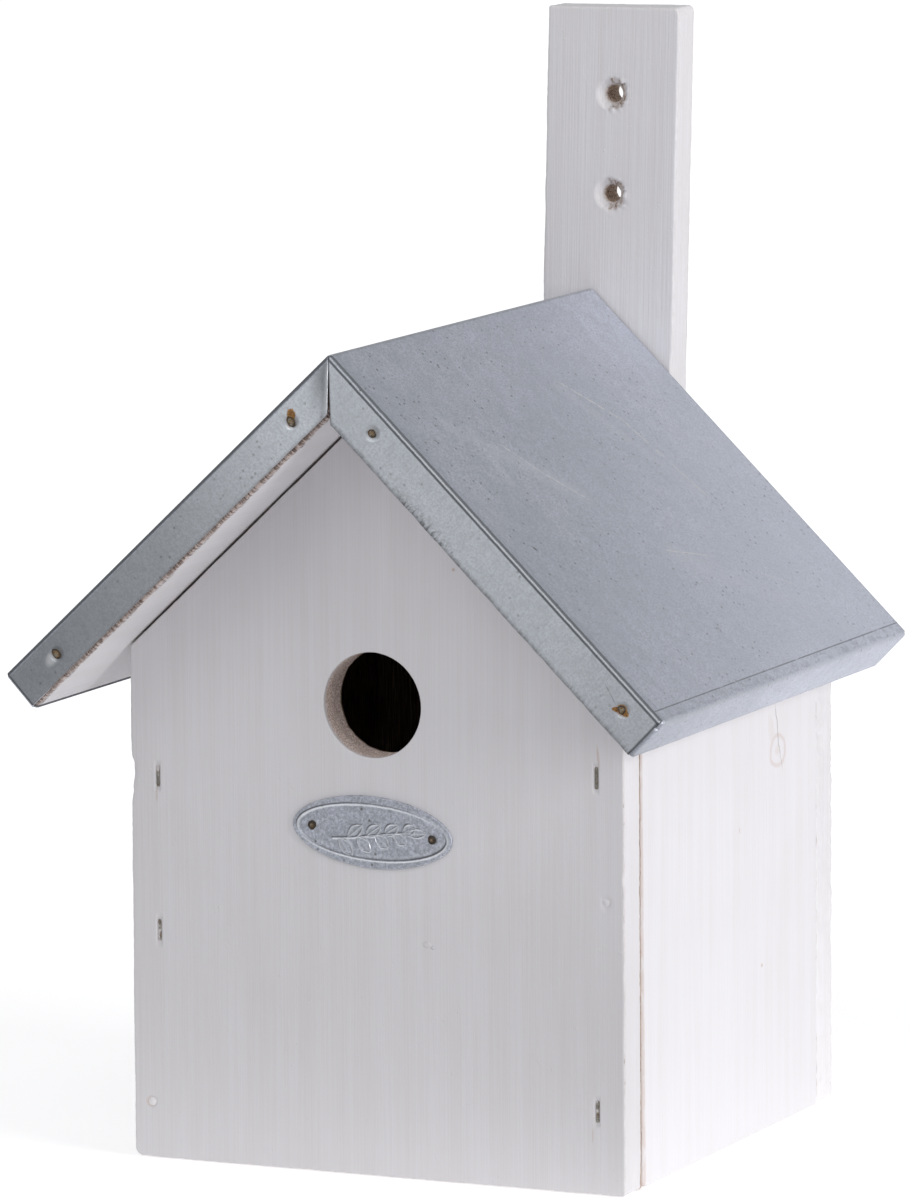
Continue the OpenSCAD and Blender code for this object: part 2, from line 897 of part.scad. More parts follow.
// Oval of four arcs that run smoothly into each other, drawn inside the plaque's
// outline by the distance inset
module oval(inset = 0) {
    half_width = plaque_width / 2;
    half_height = plaque_height / 2;
    end_middle = half_width - plaque_end_radius;
    long_radius = (half_height * half_height + end_middle * end_middle
                   - plaque_end_radius * plaque_end_radius)
                  / (2 * (half_height - plaque_end_radius));
    long_middle = long_radius - half_height;
    lean = atan2(end_middle, long_middle);
    meet = end_middle + (plaque_end_radius - inset) * sin(lean);
    intersection() {
        translate([0, -long_middle]) circle(long_radius - inset);
        translate([0, long_middle]) circle(long_radius - inset);
        square([2 * meet, plaque_height], center = true);
    }
    for (end = [-1, 1])
        translate([end * end_middle, 0]) circle(plaque_end_radius - inset);
}

module oval_plaque() {
    color(ZINC)
        difference() {
            on_plaque() {
                linear_extrude(plaque_thickness) oval();
                linear_extrude(plaque_thickness + plaque_rim)
                    difference() {
                        oval(plaque_line);
                        oval(2 * plaque_line);
                    }
            }
            for (end = [-1, 1])
                plaque_nail_place(end)
                    nail_hole(nail_shank, plaque_nail_length,
                              plaque_thickness + cut_past, sheet_hole_fit);
        }
}

module plaque_nails() {
    color(RUST)
        for (end = [-1, 1])
            plaque_nail_place(end)
                translate([0, 0, plaque_thickness])
                    nail(plaque_nail_head, plaque_nail_head_height, nail_shank,
                         plaque_nail_length);
}

front_board();
back_board();
left_side_board();
right_side_board();
floor_board();
left_roof_board();
right_roof_board();
roof_sheet();
hanging_batten();
oval_plaque();
plaque_nails();
left_flange_nails();
right_flange_nails();
back_flange_nails();
left_front_staples();
right_front_staples();
front_pins();
back_staples();
floor_staples();
roof_board_nails();
batten_screws();
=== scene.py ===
"""Bird nest box of white painted boards under one folded galvanised roof sheet.

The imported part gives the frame. Every visible board, the roof sheet, the batten, the plaque and
the fasteners are numpy surfaces laid out in millimetres in the part's own frame.
"""

import itertools
import math

import bpy
import numpy as np
from mathutils import Matrix, Vector


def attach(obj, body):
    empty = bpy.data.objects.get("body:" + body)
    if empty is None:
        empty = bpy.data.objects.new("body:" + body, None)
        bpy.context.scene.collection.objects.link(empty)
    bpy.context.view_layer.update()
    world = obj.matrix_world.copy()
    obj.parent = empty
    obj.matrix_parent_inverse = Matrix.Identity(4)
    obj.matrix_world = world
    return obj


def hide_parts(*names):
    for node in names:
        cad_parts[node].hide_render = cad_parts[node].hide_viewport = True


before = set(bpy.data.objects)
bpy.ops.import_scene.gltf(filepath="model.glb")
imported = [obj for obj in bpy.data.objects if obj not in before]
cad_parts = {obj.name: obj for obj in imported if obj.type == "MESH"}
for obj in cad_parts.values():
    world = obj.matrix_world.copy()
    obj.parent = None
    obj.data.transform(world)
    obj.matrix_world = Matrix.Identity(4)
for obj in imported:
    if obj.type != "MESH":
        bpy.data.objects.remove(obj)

bl_info = {
    "name": "Bird nest box",
    "version": (1, 0, 0),
    "blender": (4, 5, 0),
    "location": "View3D > Sidebar > Nest box",
    "description": "Builds the looks of a painted bird nest box with a folded zinc roof",
    "category": "Object",
}

# Sizes and places in millimetres, those of the part's source and of marks on its boards
MM = 0.001
WIDTH, DEPTH, PEAK = 163.0, 166.0, 234.9
FRONT_Y, BACK_Y = -DEPTH / 2, DEPTH / 2
BOARD, FLOOR = 13.0, 12.0
JOINT_BASE, JOINT_TOP, BACK_JOINT, FLOOR_JOINT = 2.4, 0.4, 0.2, 0.4
LEFT, RIGHT = -1, 1
SIDES = (LEFT, RIGHT)
SIDE_NAMES = {LEFT: "left", RIGHT: "right"}
PITCH = {LEFT: math.radians(43.2), RIGHT: math.radians(44.3)}
ROOF_BOARD = 12.5
SHEET = 0.6
SHEET_TOP = 13.4
SHEET_FRONT, SHEET_BACK = FRONT_Y - 30.6, BACK_Y - 0.2
BOARD_FRONT, BOARD_BACK = SHEET_FRONT + 1.7, SHEET_BACK - 1.7
SLOPE = 149.5
FOLD = 1.2
RIDGE_RADIUS = 1.0
FLANGE = {LEFT: 12.7, RIGHT: 14.7}
BACK_FLANGE = 11.5
LEFT_LIP = 0.75
NAIL_DROP = 6.6
TAB = 9.0
BRAKE_LINE = 144.7
CORNER = 2.0
GABLE_GAP = {LEFT: 1.2, RIGHT: 0.3}
SEAT = 0.1
ENTRANCE = (-0.6, 144.0, 16.0)
BATTEN_WIDTH, BATTEN_THICKNESS, BATTEN_LENGTH = 44.8, 12.5, 317.0
BATTEN_FOOT, FIRST_SCREW, BATTEN_LEAN = 25.0, 15.0, math.radians(1.5)
TOP_CUT = math.radians(2.2)
HANGING_HOLES = (BATTEN_LENGTH - 27.5, BATTEN_LENGTH - 59.0)
HANGING_HOLE, SINK = 2.75, 5.25
PLAQUE = (-0.6, 105.4)
PLAQUE_TURN = math.radians(-2.9)
PLAQUE_WIDTH, PLAQUE_HEIGHT, OVAL_POWER = 52.8, 22.0, 1.9
PLAQUE_NAILS = 39.6
STAPLES = {LEFT: (118.1, 70.6), RIGHT: (126.3, 25.3)}
PINS = {LEFT: 17.3, RIGHT: 88.9}
STAPLE_X = WIDTH / 2 - 9
PIN_X = WIDTH / 2 - 6
BASE_STAPLES, BASE_STAPLE_HEIGHT = (-40.0, 40.0), 6.0
STAPLE_BACK, STAPLE_LEG, STAPLE_WIRE, STAPLE_SINK = 8.0, 24.0, 1.2, 0.16
STAPLE_ENDS = (-4.3, 4.3)
KNOT, KNOT_SIZE = (38.0, 117.3), (6.5, 5.0)
NICK = 118.6

# Nails and pins, each as the head's width and rise, the shank's width and the length
FLANGE_NAIL = (2.5, 0.82, 1.6, 18)
BACK_NAIL = (3.2, 0.85, 1.6, 18)
PLAQUE_PIN = (2.8, 0.66, 1.6, 10)
PAINTED_PIN = (2.9, 0.36, 1.4, 25)

# Mesh of the boards: how fast a board's rows take up the slant of its top
TOP_BEND = 2.4

# Camera, and the floor of the stage with its painted pool of light, which the floor gives off
CAMERA_TURN, CAMERA_RISE, CAMERA_ROLL = [math.radians(a) for a in (24.266, 8.193, -0.362)]
CAMERA_TARGET, CAMERA_DISTANCE = (-7.022, -8.0, 165.549), 2795.211
SENSOR, LENS = 36.0, 272.73
POOL_TURN, POOL_LIGHT = math.radians(24.3), (0.45, 0.66)
POOL_REACH, POOL_SPREAD, POOL_FADE = 245.0, 0.12, 95.0
POOL_START, POOL_FULL = -185.0, -112.0
GROUND_RADIUS, GROUND_HEIGHT = 12000, -0.3

# Lights, each as its name, direction, distance and size, and two of them with their power
KEY_LIGHT = ("key_right", (0.95, -0.18, 0.22), 3.0, 1.6)
SOFT_LIGHTS = (("front_high", (-0.10, -0.74, 0.66), 0.85, 0.6, 1.55),
               ("top_soft", (0.15, 0.25, 1.0), 3.0, 2.0, 6.0))
LIGHTS_FACE = (0, 0, 0.16)
SKY_COLOUR = (0.97, 0.98, 1.0, 1)


# Small mathematics


def lerp(a, b, t):
    """Value a fraction t of the way from a to b."""
    return a + (b - a) * t


def smooth(t):
    """Smooth step: three t squared less two t cubed, with t held between 0 and 1."""
    t = np.clip(t, 0, 1)
    return t * t * (3 - 2 * t)


def lattice(seed, *index):
    """Repeatable number from 0 to 1 at whole-number lattice points, from mixed integer products."""
    mixed = np.full(np.broadcast(*index).shape, seed * 7919 + 104729, dtype=np.uint64)
    for i in index:
        mixed = (mixed ^ i.astype(np.int64).astype(np.uint64)) * np.uint64(0x9E3779B97F4A7C15)
        mixed = mixed ^ (mixed >> np.uint64(31))
    return (mixed >> np.uint64(11)).astype(float) / float(1 << 53)


def noise(seed, *place):
    """Smooth noise from -1 to 1: lattice numbers weighted by smooth steps of the distances."""
    place = np.broadcast_arrays(*place)
    cell = [np.floor(p) for p in place]
    part = [smooth(p - c) for p, c in zip(place, cell)]
    total = 0.0
    for corner in itertools.product((0, 1), repeat=len(place)):
        weight = 1.0
        for share, step in zip(part, corner):
            weight = weight * (share if step else 1 - share)
        total = total + weight * lattice(seed, *[c + s for c, s in zip(cell, corner)])
    return 2 * total - 1


def bump(distance, reach):
    """Bell of height 1 at distance 0 that fades over reach."""
    return np.exp(-((distance / reach) ** 2))


def beyond(distance, reach):
    """1 up to distance 0 and a bell's fading over reach beyond it."""
    return bump(np.maximum(distance, 0), reach)


def slope_point(side, run, up):
    """X and Z of a point run down a slope and up above its boards' undersides."""
    x = side * (run * math.cos(PITCH[side]) + up * math.sin(PITCH[side]))
    z = PEAK - run * math.sin(PITCH[side]) + up * math.cos(PITCH[side])
    return x, z


def slopes_meet(left_up, right_up):
    """X and Z where a plane above the left slope meets a plane above the right slope."""
    gap = right_up / math.cos(PITCH[RIGHT]) - left_up / math.cos(PITCH[LEFT])
    x = gap / (math.tan(PITCH[LEFT]) + math.tan(PITCH[RIGHT]))
    return x, PEAK + x * math.tan(PITCH[LEFT]) + left_up / math.cos(PITCH[LEFT])


def run_of(side, x, z):
    """Distance down a slope of a point in X and Z."""
    return side * x * math.cos(PITCH[side]) - (z - PEAK) * math.sin(PITCH[side])


RIDGE = slopes_meet(SHEET_TOP, SHEET_TOP)
RIDGE_RUN = {side: run_of(side, *RIDGE) for side in SIDES}
EAVE_RUN = {side: RIDGE_RUN[side] + SLOPE for side in SIDES}


def gable(x, left_gap, right_gap):
    """Height of a gable's outline at X: the lower of two lines under the slopes."""
    left = PEAK + x * math.tan(PITCH[LEFT]) - left_gap / math.cos(PITCH[LEFT])
    right = PEAK - x * math.tan(PITCH[RIGHT]) - right_gap / math.cos(PITCH[RIGHT])
    return np.minimum(left, right)


# Mesh building


class Shell:
    """Gathers grids of points and the four-cornered faces between them."""

    def __init__(self):
        self.points = []
        self.faces = []
        self.count = 0

    def add(self, points):
        """Adds points with coordinates along the last axis and returns their indices."""
        shape = points.shape[:-1]
        index = np.arange(self.count, self.count + int(np.prod(shape))).reshape(shape)
        self.points.append(points.reshape(-1, points.shape[-1]))
        self.count += index.size
        return index

    def grid(self, index, keep=None, flip=False):
        """Faces of a grid of indices, of the kept cells only."""
        a, b = index[:-1, :-1], index[1:, :-1]
        c, d = index[1:, 1:], index[:-1, 1:]
        quads = np.stack([a, d, c, b] if flip else [a, b, c, d], axis=-1)
        quads = quads[keep] if keep is not None else quads.reshape(-1, 4)
        self.faces.append(quads)

    def band(self, index, flip=False):
        """Faces between closed loops, one loop in each row of indices."""
        closed = np.concatenate([index, index[:, :1]], axis=1)
        self.grid(closed, flip=flip)

    def fan(self, loop, centre, flip=False):
        """Triangles from a closed loop to one point."""
        after = np.roll(loop, -1)
        middle = np.full(loop.shape, centre)
        order = [middle, after, loop] if flip else [middle, loop, after]
        self.faces.append(np.stack(order, axis=-1))

    def all_points(self):
        return np.concatenate(self.points)


def make_object(name, points, faces, material, attributes=None):
    """Mesh object from points in millimetres and arrays of faces, riding on the part's body."""
    mesh = bpy.data.meshes.new(name)
    sizes = np.concatenate([np.full(len(f), f.shape[1]) for f in faces])
    corners = np.concatenate([f.reshape(-1) for f in faces])
    used = np.zeros(len(points), bool)
    used[corners] = True
    corners = (np.cumsum(used) - 1)[corners]
    points = points[used]
    mesh.vertices.add(len(points))
    mesh.vertices.foreach_set("co", (points[:, :3] * MM).astype(np.float32).reshape(-1))
    mesh.loops.add(len(corners))
    mesh.loops.foreach_set("vertex_index", corners.astype(np.int32))
    mesh.polygons.add(len(sizes))
    starts = np.concatenate([[0], np.cumsum(sizes)[:-1]])
    mesh.polygons.foreach_set("loop_start", starts.astype(np.int32))
    mesh.update(calc_edges=True)
    mesh.validate()
    mesh.shade_smooth()
    for key, values in (attributes or {}).items():
        kind = "FLOAT_VECTOR" if values.ndim == 2 else "FLOAT"
        values = values[used]
        layer = mesh.attributes.new(key, kind, "POINT")
        layer.data.foreach_set("vector" if values.ndim == 2 else "value",
                               values.astype(np.float32).reshape(-1))
    mesh.materials.append(material)
    item = bpy.data.objects.new(name, mesh)
    bpy.context.scene.collection.objects.link(item)
    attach(item, "root")
    return item


def stations(size, step, fine, focus=()):
    """Fractions from 0 to 1 along a length. Steps shrink to fine at both ends, and round each
    focus (place, reach, step)."""
    x = np.linspace(0, size, 4001)
    ends = np.minimum(x, size - x)
    density = 1 / step + (1 / fine - 1 / step) * bump(ends, 2.2)
    for place, reach, close in focus:
        inside = smooth(1.5 - np.abs(x - place) / reach)
        density = np.maximum(density, lerp(1 / step, 1 / close, inside))
    total = np.concatenate([[0], np.cumsum((density[1:] + density[:-1]) / 2 * np.diff(x))])
    cells = max(4, int(math.ceil(total[-1])))
    return np.interp(np.linspace(0, total[-1], cells + 1), total, x) / size


def even(value):
    """Edge of a board that lies at the same value all along."""
    return lambda along, *_: value + 0 * along


class Board:
    """Closed board in its own axes: u across the grain, v along it and w inwards from its outer
    face. left and right give the side edges in u at a height v, and top gives the top edge at
    u and w. Each hole is (u, v, profile) with a profile of (w, radius) from face to face."""

    def __init__(self, left, right, top, depth, bottom=0.0, arris=0.7, corners=(0.8,) * 4,
                 holes=(), step=1.4, fine=0.45, u_focus=(), v_focus=(), rise=1.0):
        self.left, self.right, self.top = left, right, top
        self.depth, self.bottom, self.arris = depth, bottom, arris
        self.corners, self.holes = corners, holes
        self.rise = rise
        width = float(right(0.0) - left(0.0))
        middle = np.linspace(float(left(0.0)), float(right(0.0)), 401)
        self.height = float(np.max(top(middle, 0.0))) - bottom
        self.a = stations(width, step, fine, u_focus)
        self.b = stations(self.height, step, fine, v_focus)

    def outline(self, a, b, w, inset):
        """Point of the board's plan from fractions a and b. v is the height times b, less what
        the top edge lacks there times b to the power TOP_BEND, and corners turn a square ring
        into a round one."""
        v_hat = self.bottom + b * self.height
        low = self.left(v_hat) + inset
        high = self.right(v_hat) - inset
        u = lerp(low, high, a)
        top = self.top(u, w) - inset * self.rise - self.bottom
        lack = self.height - (top - inset)
        v = self.bottom + inset + b * self.height - lack * np.power(b, TOP_BEND)
        v_top = self.bottom + top
        for corner, (across, along) in enumerate(((0, 0), (1, 0), (1, 1), (0, 1))):
            radius = max(self.corners[corner] - inset, 0.05)
            p = (low + radius - u if across == 0 else u - high + radius) / radius
            floor = self.bottom + inset
            q = (floor + radius - v if along == 0 else v - v_top + radius) / radius
            inside = (p > 0) & (q > 0)
            p, q = np.where(inside, p, 1.0), np.where(inside, q, 1.0)
            share = np.where(inside, np.maximum(p, q) / np.hypot(p, q), 1.0) - 1.0
            u = u + (-1 if across == 0 else 1) * p * share * radius * inside
            v = v + (-1 if along == 0 else 1) * q * share * radius * inside
        return u, v

    def window(self, hole, w):
        """Rows and columns of the cells that a hole removes."""
        u, v, profile = hole
        reach = 0.9 * max(profile[0][1], profile[-1][1])
        column = np.searchsorted(self.outline(self.a, 0.5, w, 0)[0], [u - reach, u + reach])
        near = int(np.mean(column))
        heights = self.outline(self.a[near], self.b, w, 0)[1]
        row = np.searchsorted(heights, [v - reach, v + reach])
        return column[0], column[1], row[0], row[1]

    def in_window(self, i, j, window):
        """Grid places as shares of a window, from -1 to 1 between its sides."""
        i0, i1, j0, j1 = window
        return ((i - (i0 + i1) / 2) / ((i1 - i0) / 2), (j - (j0 + j1) / 2) / ((j1 - j0) / 2))

    def face(self, w, radii):
        """Grid of one face, with its cells round each hole drawn out into rings. A cell ring at
        a window distance q goes to a circle of radius times q, and that change fades out."""
        a, b = np.meshgrid(self.a, self.b, indexing="ij")
        u, v = self.outline(a, b, w, self.arris)
        i, j = np.meshgrid(np.arange(len(self.a)), np.arange(len(self.b)), indexing="ij")
        for (cu, cv, _), radius, window in zip(self.holes, radii, self.windows):
            p, q = self.in_window(i, j, window)
            ring = np.maximum(np.abs(p), np.abs(q))
            length = np.maximum(np.hypot(p, q), 1e-9)
            share = 1 - smooth((ring - 1) / 1.3)
            u = lerp(u, cu + p / length * radius * ring, share)
            v = lerp(v, cv + q / length * radius * ring, share)
        return np.stack([u, v, np.full(u.shape, float(w))], axis=-1)

    def rim(self, i0, i1, j0, j1):
        """Grid places round a window or the whole face, in order against the clock."""
        i = np.concatenate([np.arange(i0, i1), np.full(j1 - j0, i1),
                            np.arange(i1, i0, -1), np.full(j1 - j0, i0)])
        j = np.concatenate([np.full(i1 - i0, j0), np.arange(j0, j1),
                            np.full(i1 - i0, j1), np.arange(j1, j0, -1)])
        return i, j

    def build(self):
        """Two faces, the outer wall with its rounded arrises, and a wall in each hole."""
        shell = Shell()
        self.windows = [self.window(hole, 0.0) for hole in self.holes]
        keep = np.ones((len(self.a) - 1, len(self.b) - 1), bool)
        for i0, i1, j0, j1 in self.windows:
            keep[i0:i1, j0:j1] = False
        front = shell.add(self.face(0.0, [hole[2][0][1] for hole in self.holes]))
        back = shell.add(self.face(self.depth, [hole[2][-1][1] for hole in self.holes]))
        shell.grid(front, keep)
        shell.grid(back, keep, flip=True)
        turns = np.radians([30, 60, 90])
        w = np.concatenate([
            self.arris * (1 - np.cos(turns)),
            np.linspace(self.arris, self.depth - self.arris, int(self.depth / 1.3) + 1)[1:-1],
            self.depth - self.arris * (1 - np.cos(turns[::-1])),
        ])[:, None]
        inset = np.concatenate([self.arris * (1 - np.sin(turns)),
                                np.zeros(len(w) - 6),
                                self.arris * (1 - np.sin(turns[::-1]))])[:, None]
        i, j = self.rim(0, len(self.a) - 1, 0, len(self.b) - 1)
        a, b = self.a[i][None, :], self.b[j][None, :]
        rows = [self.outline(a, b, level, edge) + (np.full(a.shape, level),)
                for level, edge in zip(w[:, 0], inset[:, 0])]
        wall = shell.add(np.concatenate([np.stack(r, axis=-1) for r in rows]))
        loops = np.concatenate([front[i, j][None], wall, back[i, j][None]])
        shell.band(loops)
        for (cu, cv, profile), window in zip(self.holes, self.windows):
            i, j = self.rim(*window)
            p, q = self.in_window(i, j, window)
            turn = np.arctan2(q, p)[None, :]
            level = np.array([row[0] for row in profile[1:-1]])[:, None]
            radius = np.array([row[1] for row in profile[1:-1]])[:, None]
            ring = np.stack(np.broadcast_arrays(cu + radius * np.cos(turn),
                                                cv + radius * np.sin(turn), level), axis=-1)
            index = shell.add(ring)
            loops = np.concatenate([front[i, j][None], index, back[i, j][None]])
            shell.band(loops, flip=True)
        return shell


def hole_profile(depth, radius, lip, steps, sink=0.0, sink_radius=0.0):
    """Profile of a hole: a lip or a countersink, a straight wall and a lip at the back."""
    turns = np.radians([0, 30, 60, 90])
    start = [(sink * t, lerp(sink_radius, radius, t)) for t in np.linspace(0, 1, 5)] if sink \
        else [(lip * (1 - math.cos(t)), radius + lip * (1 - math.sin(t))) for t in turns]
    end = [(depth - lip * (1 - math.cos(t)), radius + lip * (1 - math.sin(t))) for t in turns]
    wall = [(w, radius) for w in np.linspace(start[-1][0], end[-1][0], steps)[1:-1]]
    return start + wall + end[::-1]


def placed(local, origin, u_axis, v_axis, w_axis):
    """Points given in a board's u, v and w, as points in the part's frame."""
    axes = np.array([u_axis, v_axis, w_axis], float)
    return np.array(origin, float) + local[:, :3] @ axes


def edge_wear(local, board, amount, seed, length):
    """Moves points near the outer edges inwards by noise along the edge, fading over 2 mm."""
    u, v, w = local.T
    left, right = board.left(v), board.right(v)
    bottom, top = board.bottom, board.top(u, w)
    for place, sign, axis, along in ((u - left, 1, 0, v), (right - u, -1, 0, v),
                                     (v - bottom, 1, 1, u), (top - v, -1, 1, u)):
        rough = 0.5 + 0.5 * noise(seed, along / length, w / 5) \
            + 0.35 * noise(seed + 7, along / 1.3, w / 1.6)
        local[:, axis] += sign * amount * np.clip(rough, 0, 1.3) * beyond(place, 1.6)
        seed += 13


def dent(local, u, v, w, reach, push):
    """Moves points near a place by push, fading over reach in each direction."""
    near = bump((local[:, 0] - u) / reach[0], 1) * bump((local[:, 1] - v) / reach[1], 1) \
        * bump((local[:, 2] - w) / reach[2], 1)
    local += near[:, None] * np.array(push)


# Materials


class Shader:
    """A node material with short calls for the nodes that the finishes use."""

    def __init__(self, name):
        self.material = bpy.data.materials.new(name)
        self.material.use_nodes = True
        self.tree = self.material.node_tree
        self.tree.nodes.clear()
        out = self.tree.nodes.new("ShaderNodeOutputMaterial")
        self.main = self.tree.nodes.new("ShaderNodeBsdfPrincipled")
        self.link(self.main.outputs[0], out.inputs["Surface"])

    def link(self, source, target):
        self.tree.links.new(source, target)

    def feed(self, socket, value):
        """Links an output to a socket, or sets the socket to a plain value."""
        if isinstance(value, bpy.types.NodeSocket):
            self.link(value, socket)
        elif value is not None:
            socket.default_value = value

    def attribute(self, name, vector=False):
        node = self.tree.nodes.new("ShaderNodeAttribute")
        node.attribute_name = name
        return node.outputs["Vector" if vector else "Fac"]

    def object_place(self):
        return self.vector("SCALE", self.tree.nodes.new("ShaderNodeTexCoord").outputs["Object"],
                           scale=1 / MM)

    def vector(self, operation, a, b=None, scale=None):
        node = self.tree.nodes.new("ShaderNodeVectorMath")
        node.operation = operation
        self.feed(node.inputs[0], a)
        self.feed(node.inputs[1], b)
        if scale is not None:
            self.feed(node.inputs["Scale"], scale)
        return node.outputs["Vector"]

    def maths(self, operation, a, b=None):
        node = self.tree.nodes.new("ShaderNodeMath")
        node.operation = operation
        self.feed(node.inputs[0], a)
        self.feed(node.inputs[1], b)
        return node.outputs[0]

    def chain(self, operation, values):
        """One number from several: the first with the second, that with the third, and so on."""
        total = values[0]
        for value in values[1:]:
            total = self.maths(operation, total, value)
        return total

    def times(self, *values):
        return self.chain("MULTIPLY", values)

    def plus(self, *values):
        return self.chain("ADD", values)

    def most(self, *values):
        return self.chain("MAXIMUM", values)

    def minus(self, a, b):
        return self.maths("SUBTRACT", a, b)

    def size(self, a):
        return self.maths("ABSOLUTE", a)

    def away(self, dx, dy):
        """Length of the step dx across and dy along."""
        return self.maths("SQRT", self.plus(self.times(dx, dx), self.times(dy, dy)))

    def split(self, vector):
        node = self.tree.nodes.new("ShaderNodeSeparateXYZ")
        self.link(vector, node.inputs[0])
        return node.outputs

    def join(self, x, y, z=0.0):
        node = self.tree.nodes.new("ShaderNodeCombineXYZ")
        for socket, value in zip(node.inputs, (x, y, z)):
            self.feed(socket, value)
        return node.outputs[0]

    def noise(self, place, scale, detail=2.0, rough=0.5, distortion=0.0, offset=(0, 0, 0)):
        """Noise value at place times scale (one number for each axis) plus offset."""
        scaled = self.vector("MULTIPLY", place, scale)
        node = self.tree.nodes.new("ShaderNodeTexNoise")
        self.link(self.vector("ADD", scaled, offset), node.inputs["Vector"])
        for key, value in (("Scale", 1.0), ("Detail", detail), ("Roughness", rough),
                           ("Distortion", distortion)):
            node.inputs[key].default_value = value
        return node.outputs["Fac"]

    def cells(self, place, scale, offset=(0, 0, 0)):
        """Distance to the nearest of scattered points, at place times scale plus offset."""
        scaled = self.vector("MULTIPLY", place, scale)
        node = self.tree.nodes.new("ShaderNodeTexVoronoi")
        self.link(self.vector("ADD", scaled, offset), node.inputs["Vector"])
        node.inputs["Scale"].default_value = 1.0
        return node.outputs["Distance"]

    def remap(self, value, low, high, to_low=0.0, to_high=1.0, kind="SMOOTHSTEP"):
        node = self.tree.nodes.new("ShaderNodeMapRange")
        node.interpolation_type = kind
        for socket, number in zip(node.inputs[:5], (value, low, high, to_low, to_high)):
            self.feed(socket, number)
        return node.outputs[0]

    def blend(self, share, a, b, kind="MIX"):
        """Colour a share of the way from a to b."""
        node = self.tree.nodes.new("ShaderNodeMix")
        node.data_type = "RGBA"
        node.blend_type = kind
        self.feed(node.inputs["Factor"], share)
        for socket, value in ((node.inputs[6], a), (node.inputs[7], b)):
            self.feed(socket, tuple(value) + (1,) if isinstance(value, tuple) else value)
        return node.outputs[2]

    def mix(self, share, a, b):
        """Number a share of the way from a to b."""
        node = self.tree.nodes.new("ShaderNodeMix")
        for socket, value in zip(node.inputs[:1] + node.inputs[2:4], (share, a, b)):
            self.feed(socket, value)
        return node.outputs[0]

    def relief(self, height):
        """Normal for a relief whose height is given in millimetres."""
        node = self.tree.nodes.new("ShaderNodeBump")
        node.inputs["Strength"].default_value = 1.0
        node.inputs["Distance"].default_value = MM
        self.feed(node.inputs["Height"], height)
        return node.outputs[0]

    def spot(self, x, y, centre, size, turn=0.0):
        """1 at a place in two coordinates, falling to 0 at an ellipse of the given half sizes."""
        c, s = math.cos(turn), math.sin(turn)
        dx = self.minus(x, centre[0])
        dy = self.minus(y, centre[1])
        along = self.plus(self.times(dx, c / size[0]), self.times(dy, s / size[0]))
        across = self.plus(self.times(dx, -s / size[1]), self.times(dy, c / size[1]))
        square = self.plus(self.times(along, along), self.times(across, across))
        return self.remap(square, 1.0, 0.0)

    def stripe(self, value, centre, outer, inner):
        """1 where a value lies within inner of a centre, falling to 0 at outer."""
        return self.remap(self.size(self.minus(value, centre)), outer, inner)

    def line(self, x, y, start, end, width):
        """1 along a line between two places in two coordinates, falling to 0 at its width."""
        dx, dy = end[0] - start[0], end[1] - start[1]
        length = math.hypot(dx, dy)
        px = self.minus(x, start[0])
        py = self.minus(y, start[1])
        along = self.plus(self.times(px, dx / length), self.times(py, dy / length))
        across = self.plus(self.times(px, -dy / length), self.times(py, dx / length))
        inside = self.times(self.remap(along, -2.0, 2.0),
                            self.remap(along, length + 2.0, length - 2.0))
        near = self.remap(self.size(across), width, width * 0.2)
        return self.times(inside, near)

    def finish(self, colour, rough, normal=None, metallic=None, specular=0.5):
        self.feed(self.main.inputs["Base Color"], colour)
        self.feed(self.main.inputs["Roughness"], rough)
        self.feed(self.main.inputs["Metallic"], metallic)
        self.feed(self.main.inputs["Normal"], normal)
        self.main.inputs["Specular IOR Level"].default_value = specular
        return self.material


PAINT = (0.80, 0.785, 0.81)
PAINT_THIN = (0.66, 0.62, 0.62)
WOOD_LIGHT = (0.62, 0.49, 0.39)
WOOD_DARK = (0.22, 0.14, 0.10)


def warm_bore(s, x, y, z, centre, radius, start):
    """Share of a hole's wall from start inwards, and the noise of its torn fibres."""
    dx, dy = s.minus(x, centre[0]), s.minus(y, centre[1])
    share = s.times(s.remap(s.away(dx, dy), radius + 0.9, radius + 0.5),
                    s.remap(z, start, start + 2.2))
    return share, s.noise(s.join(x, y, z), (1.9, 1.9, 1.9), 3, 0.7)


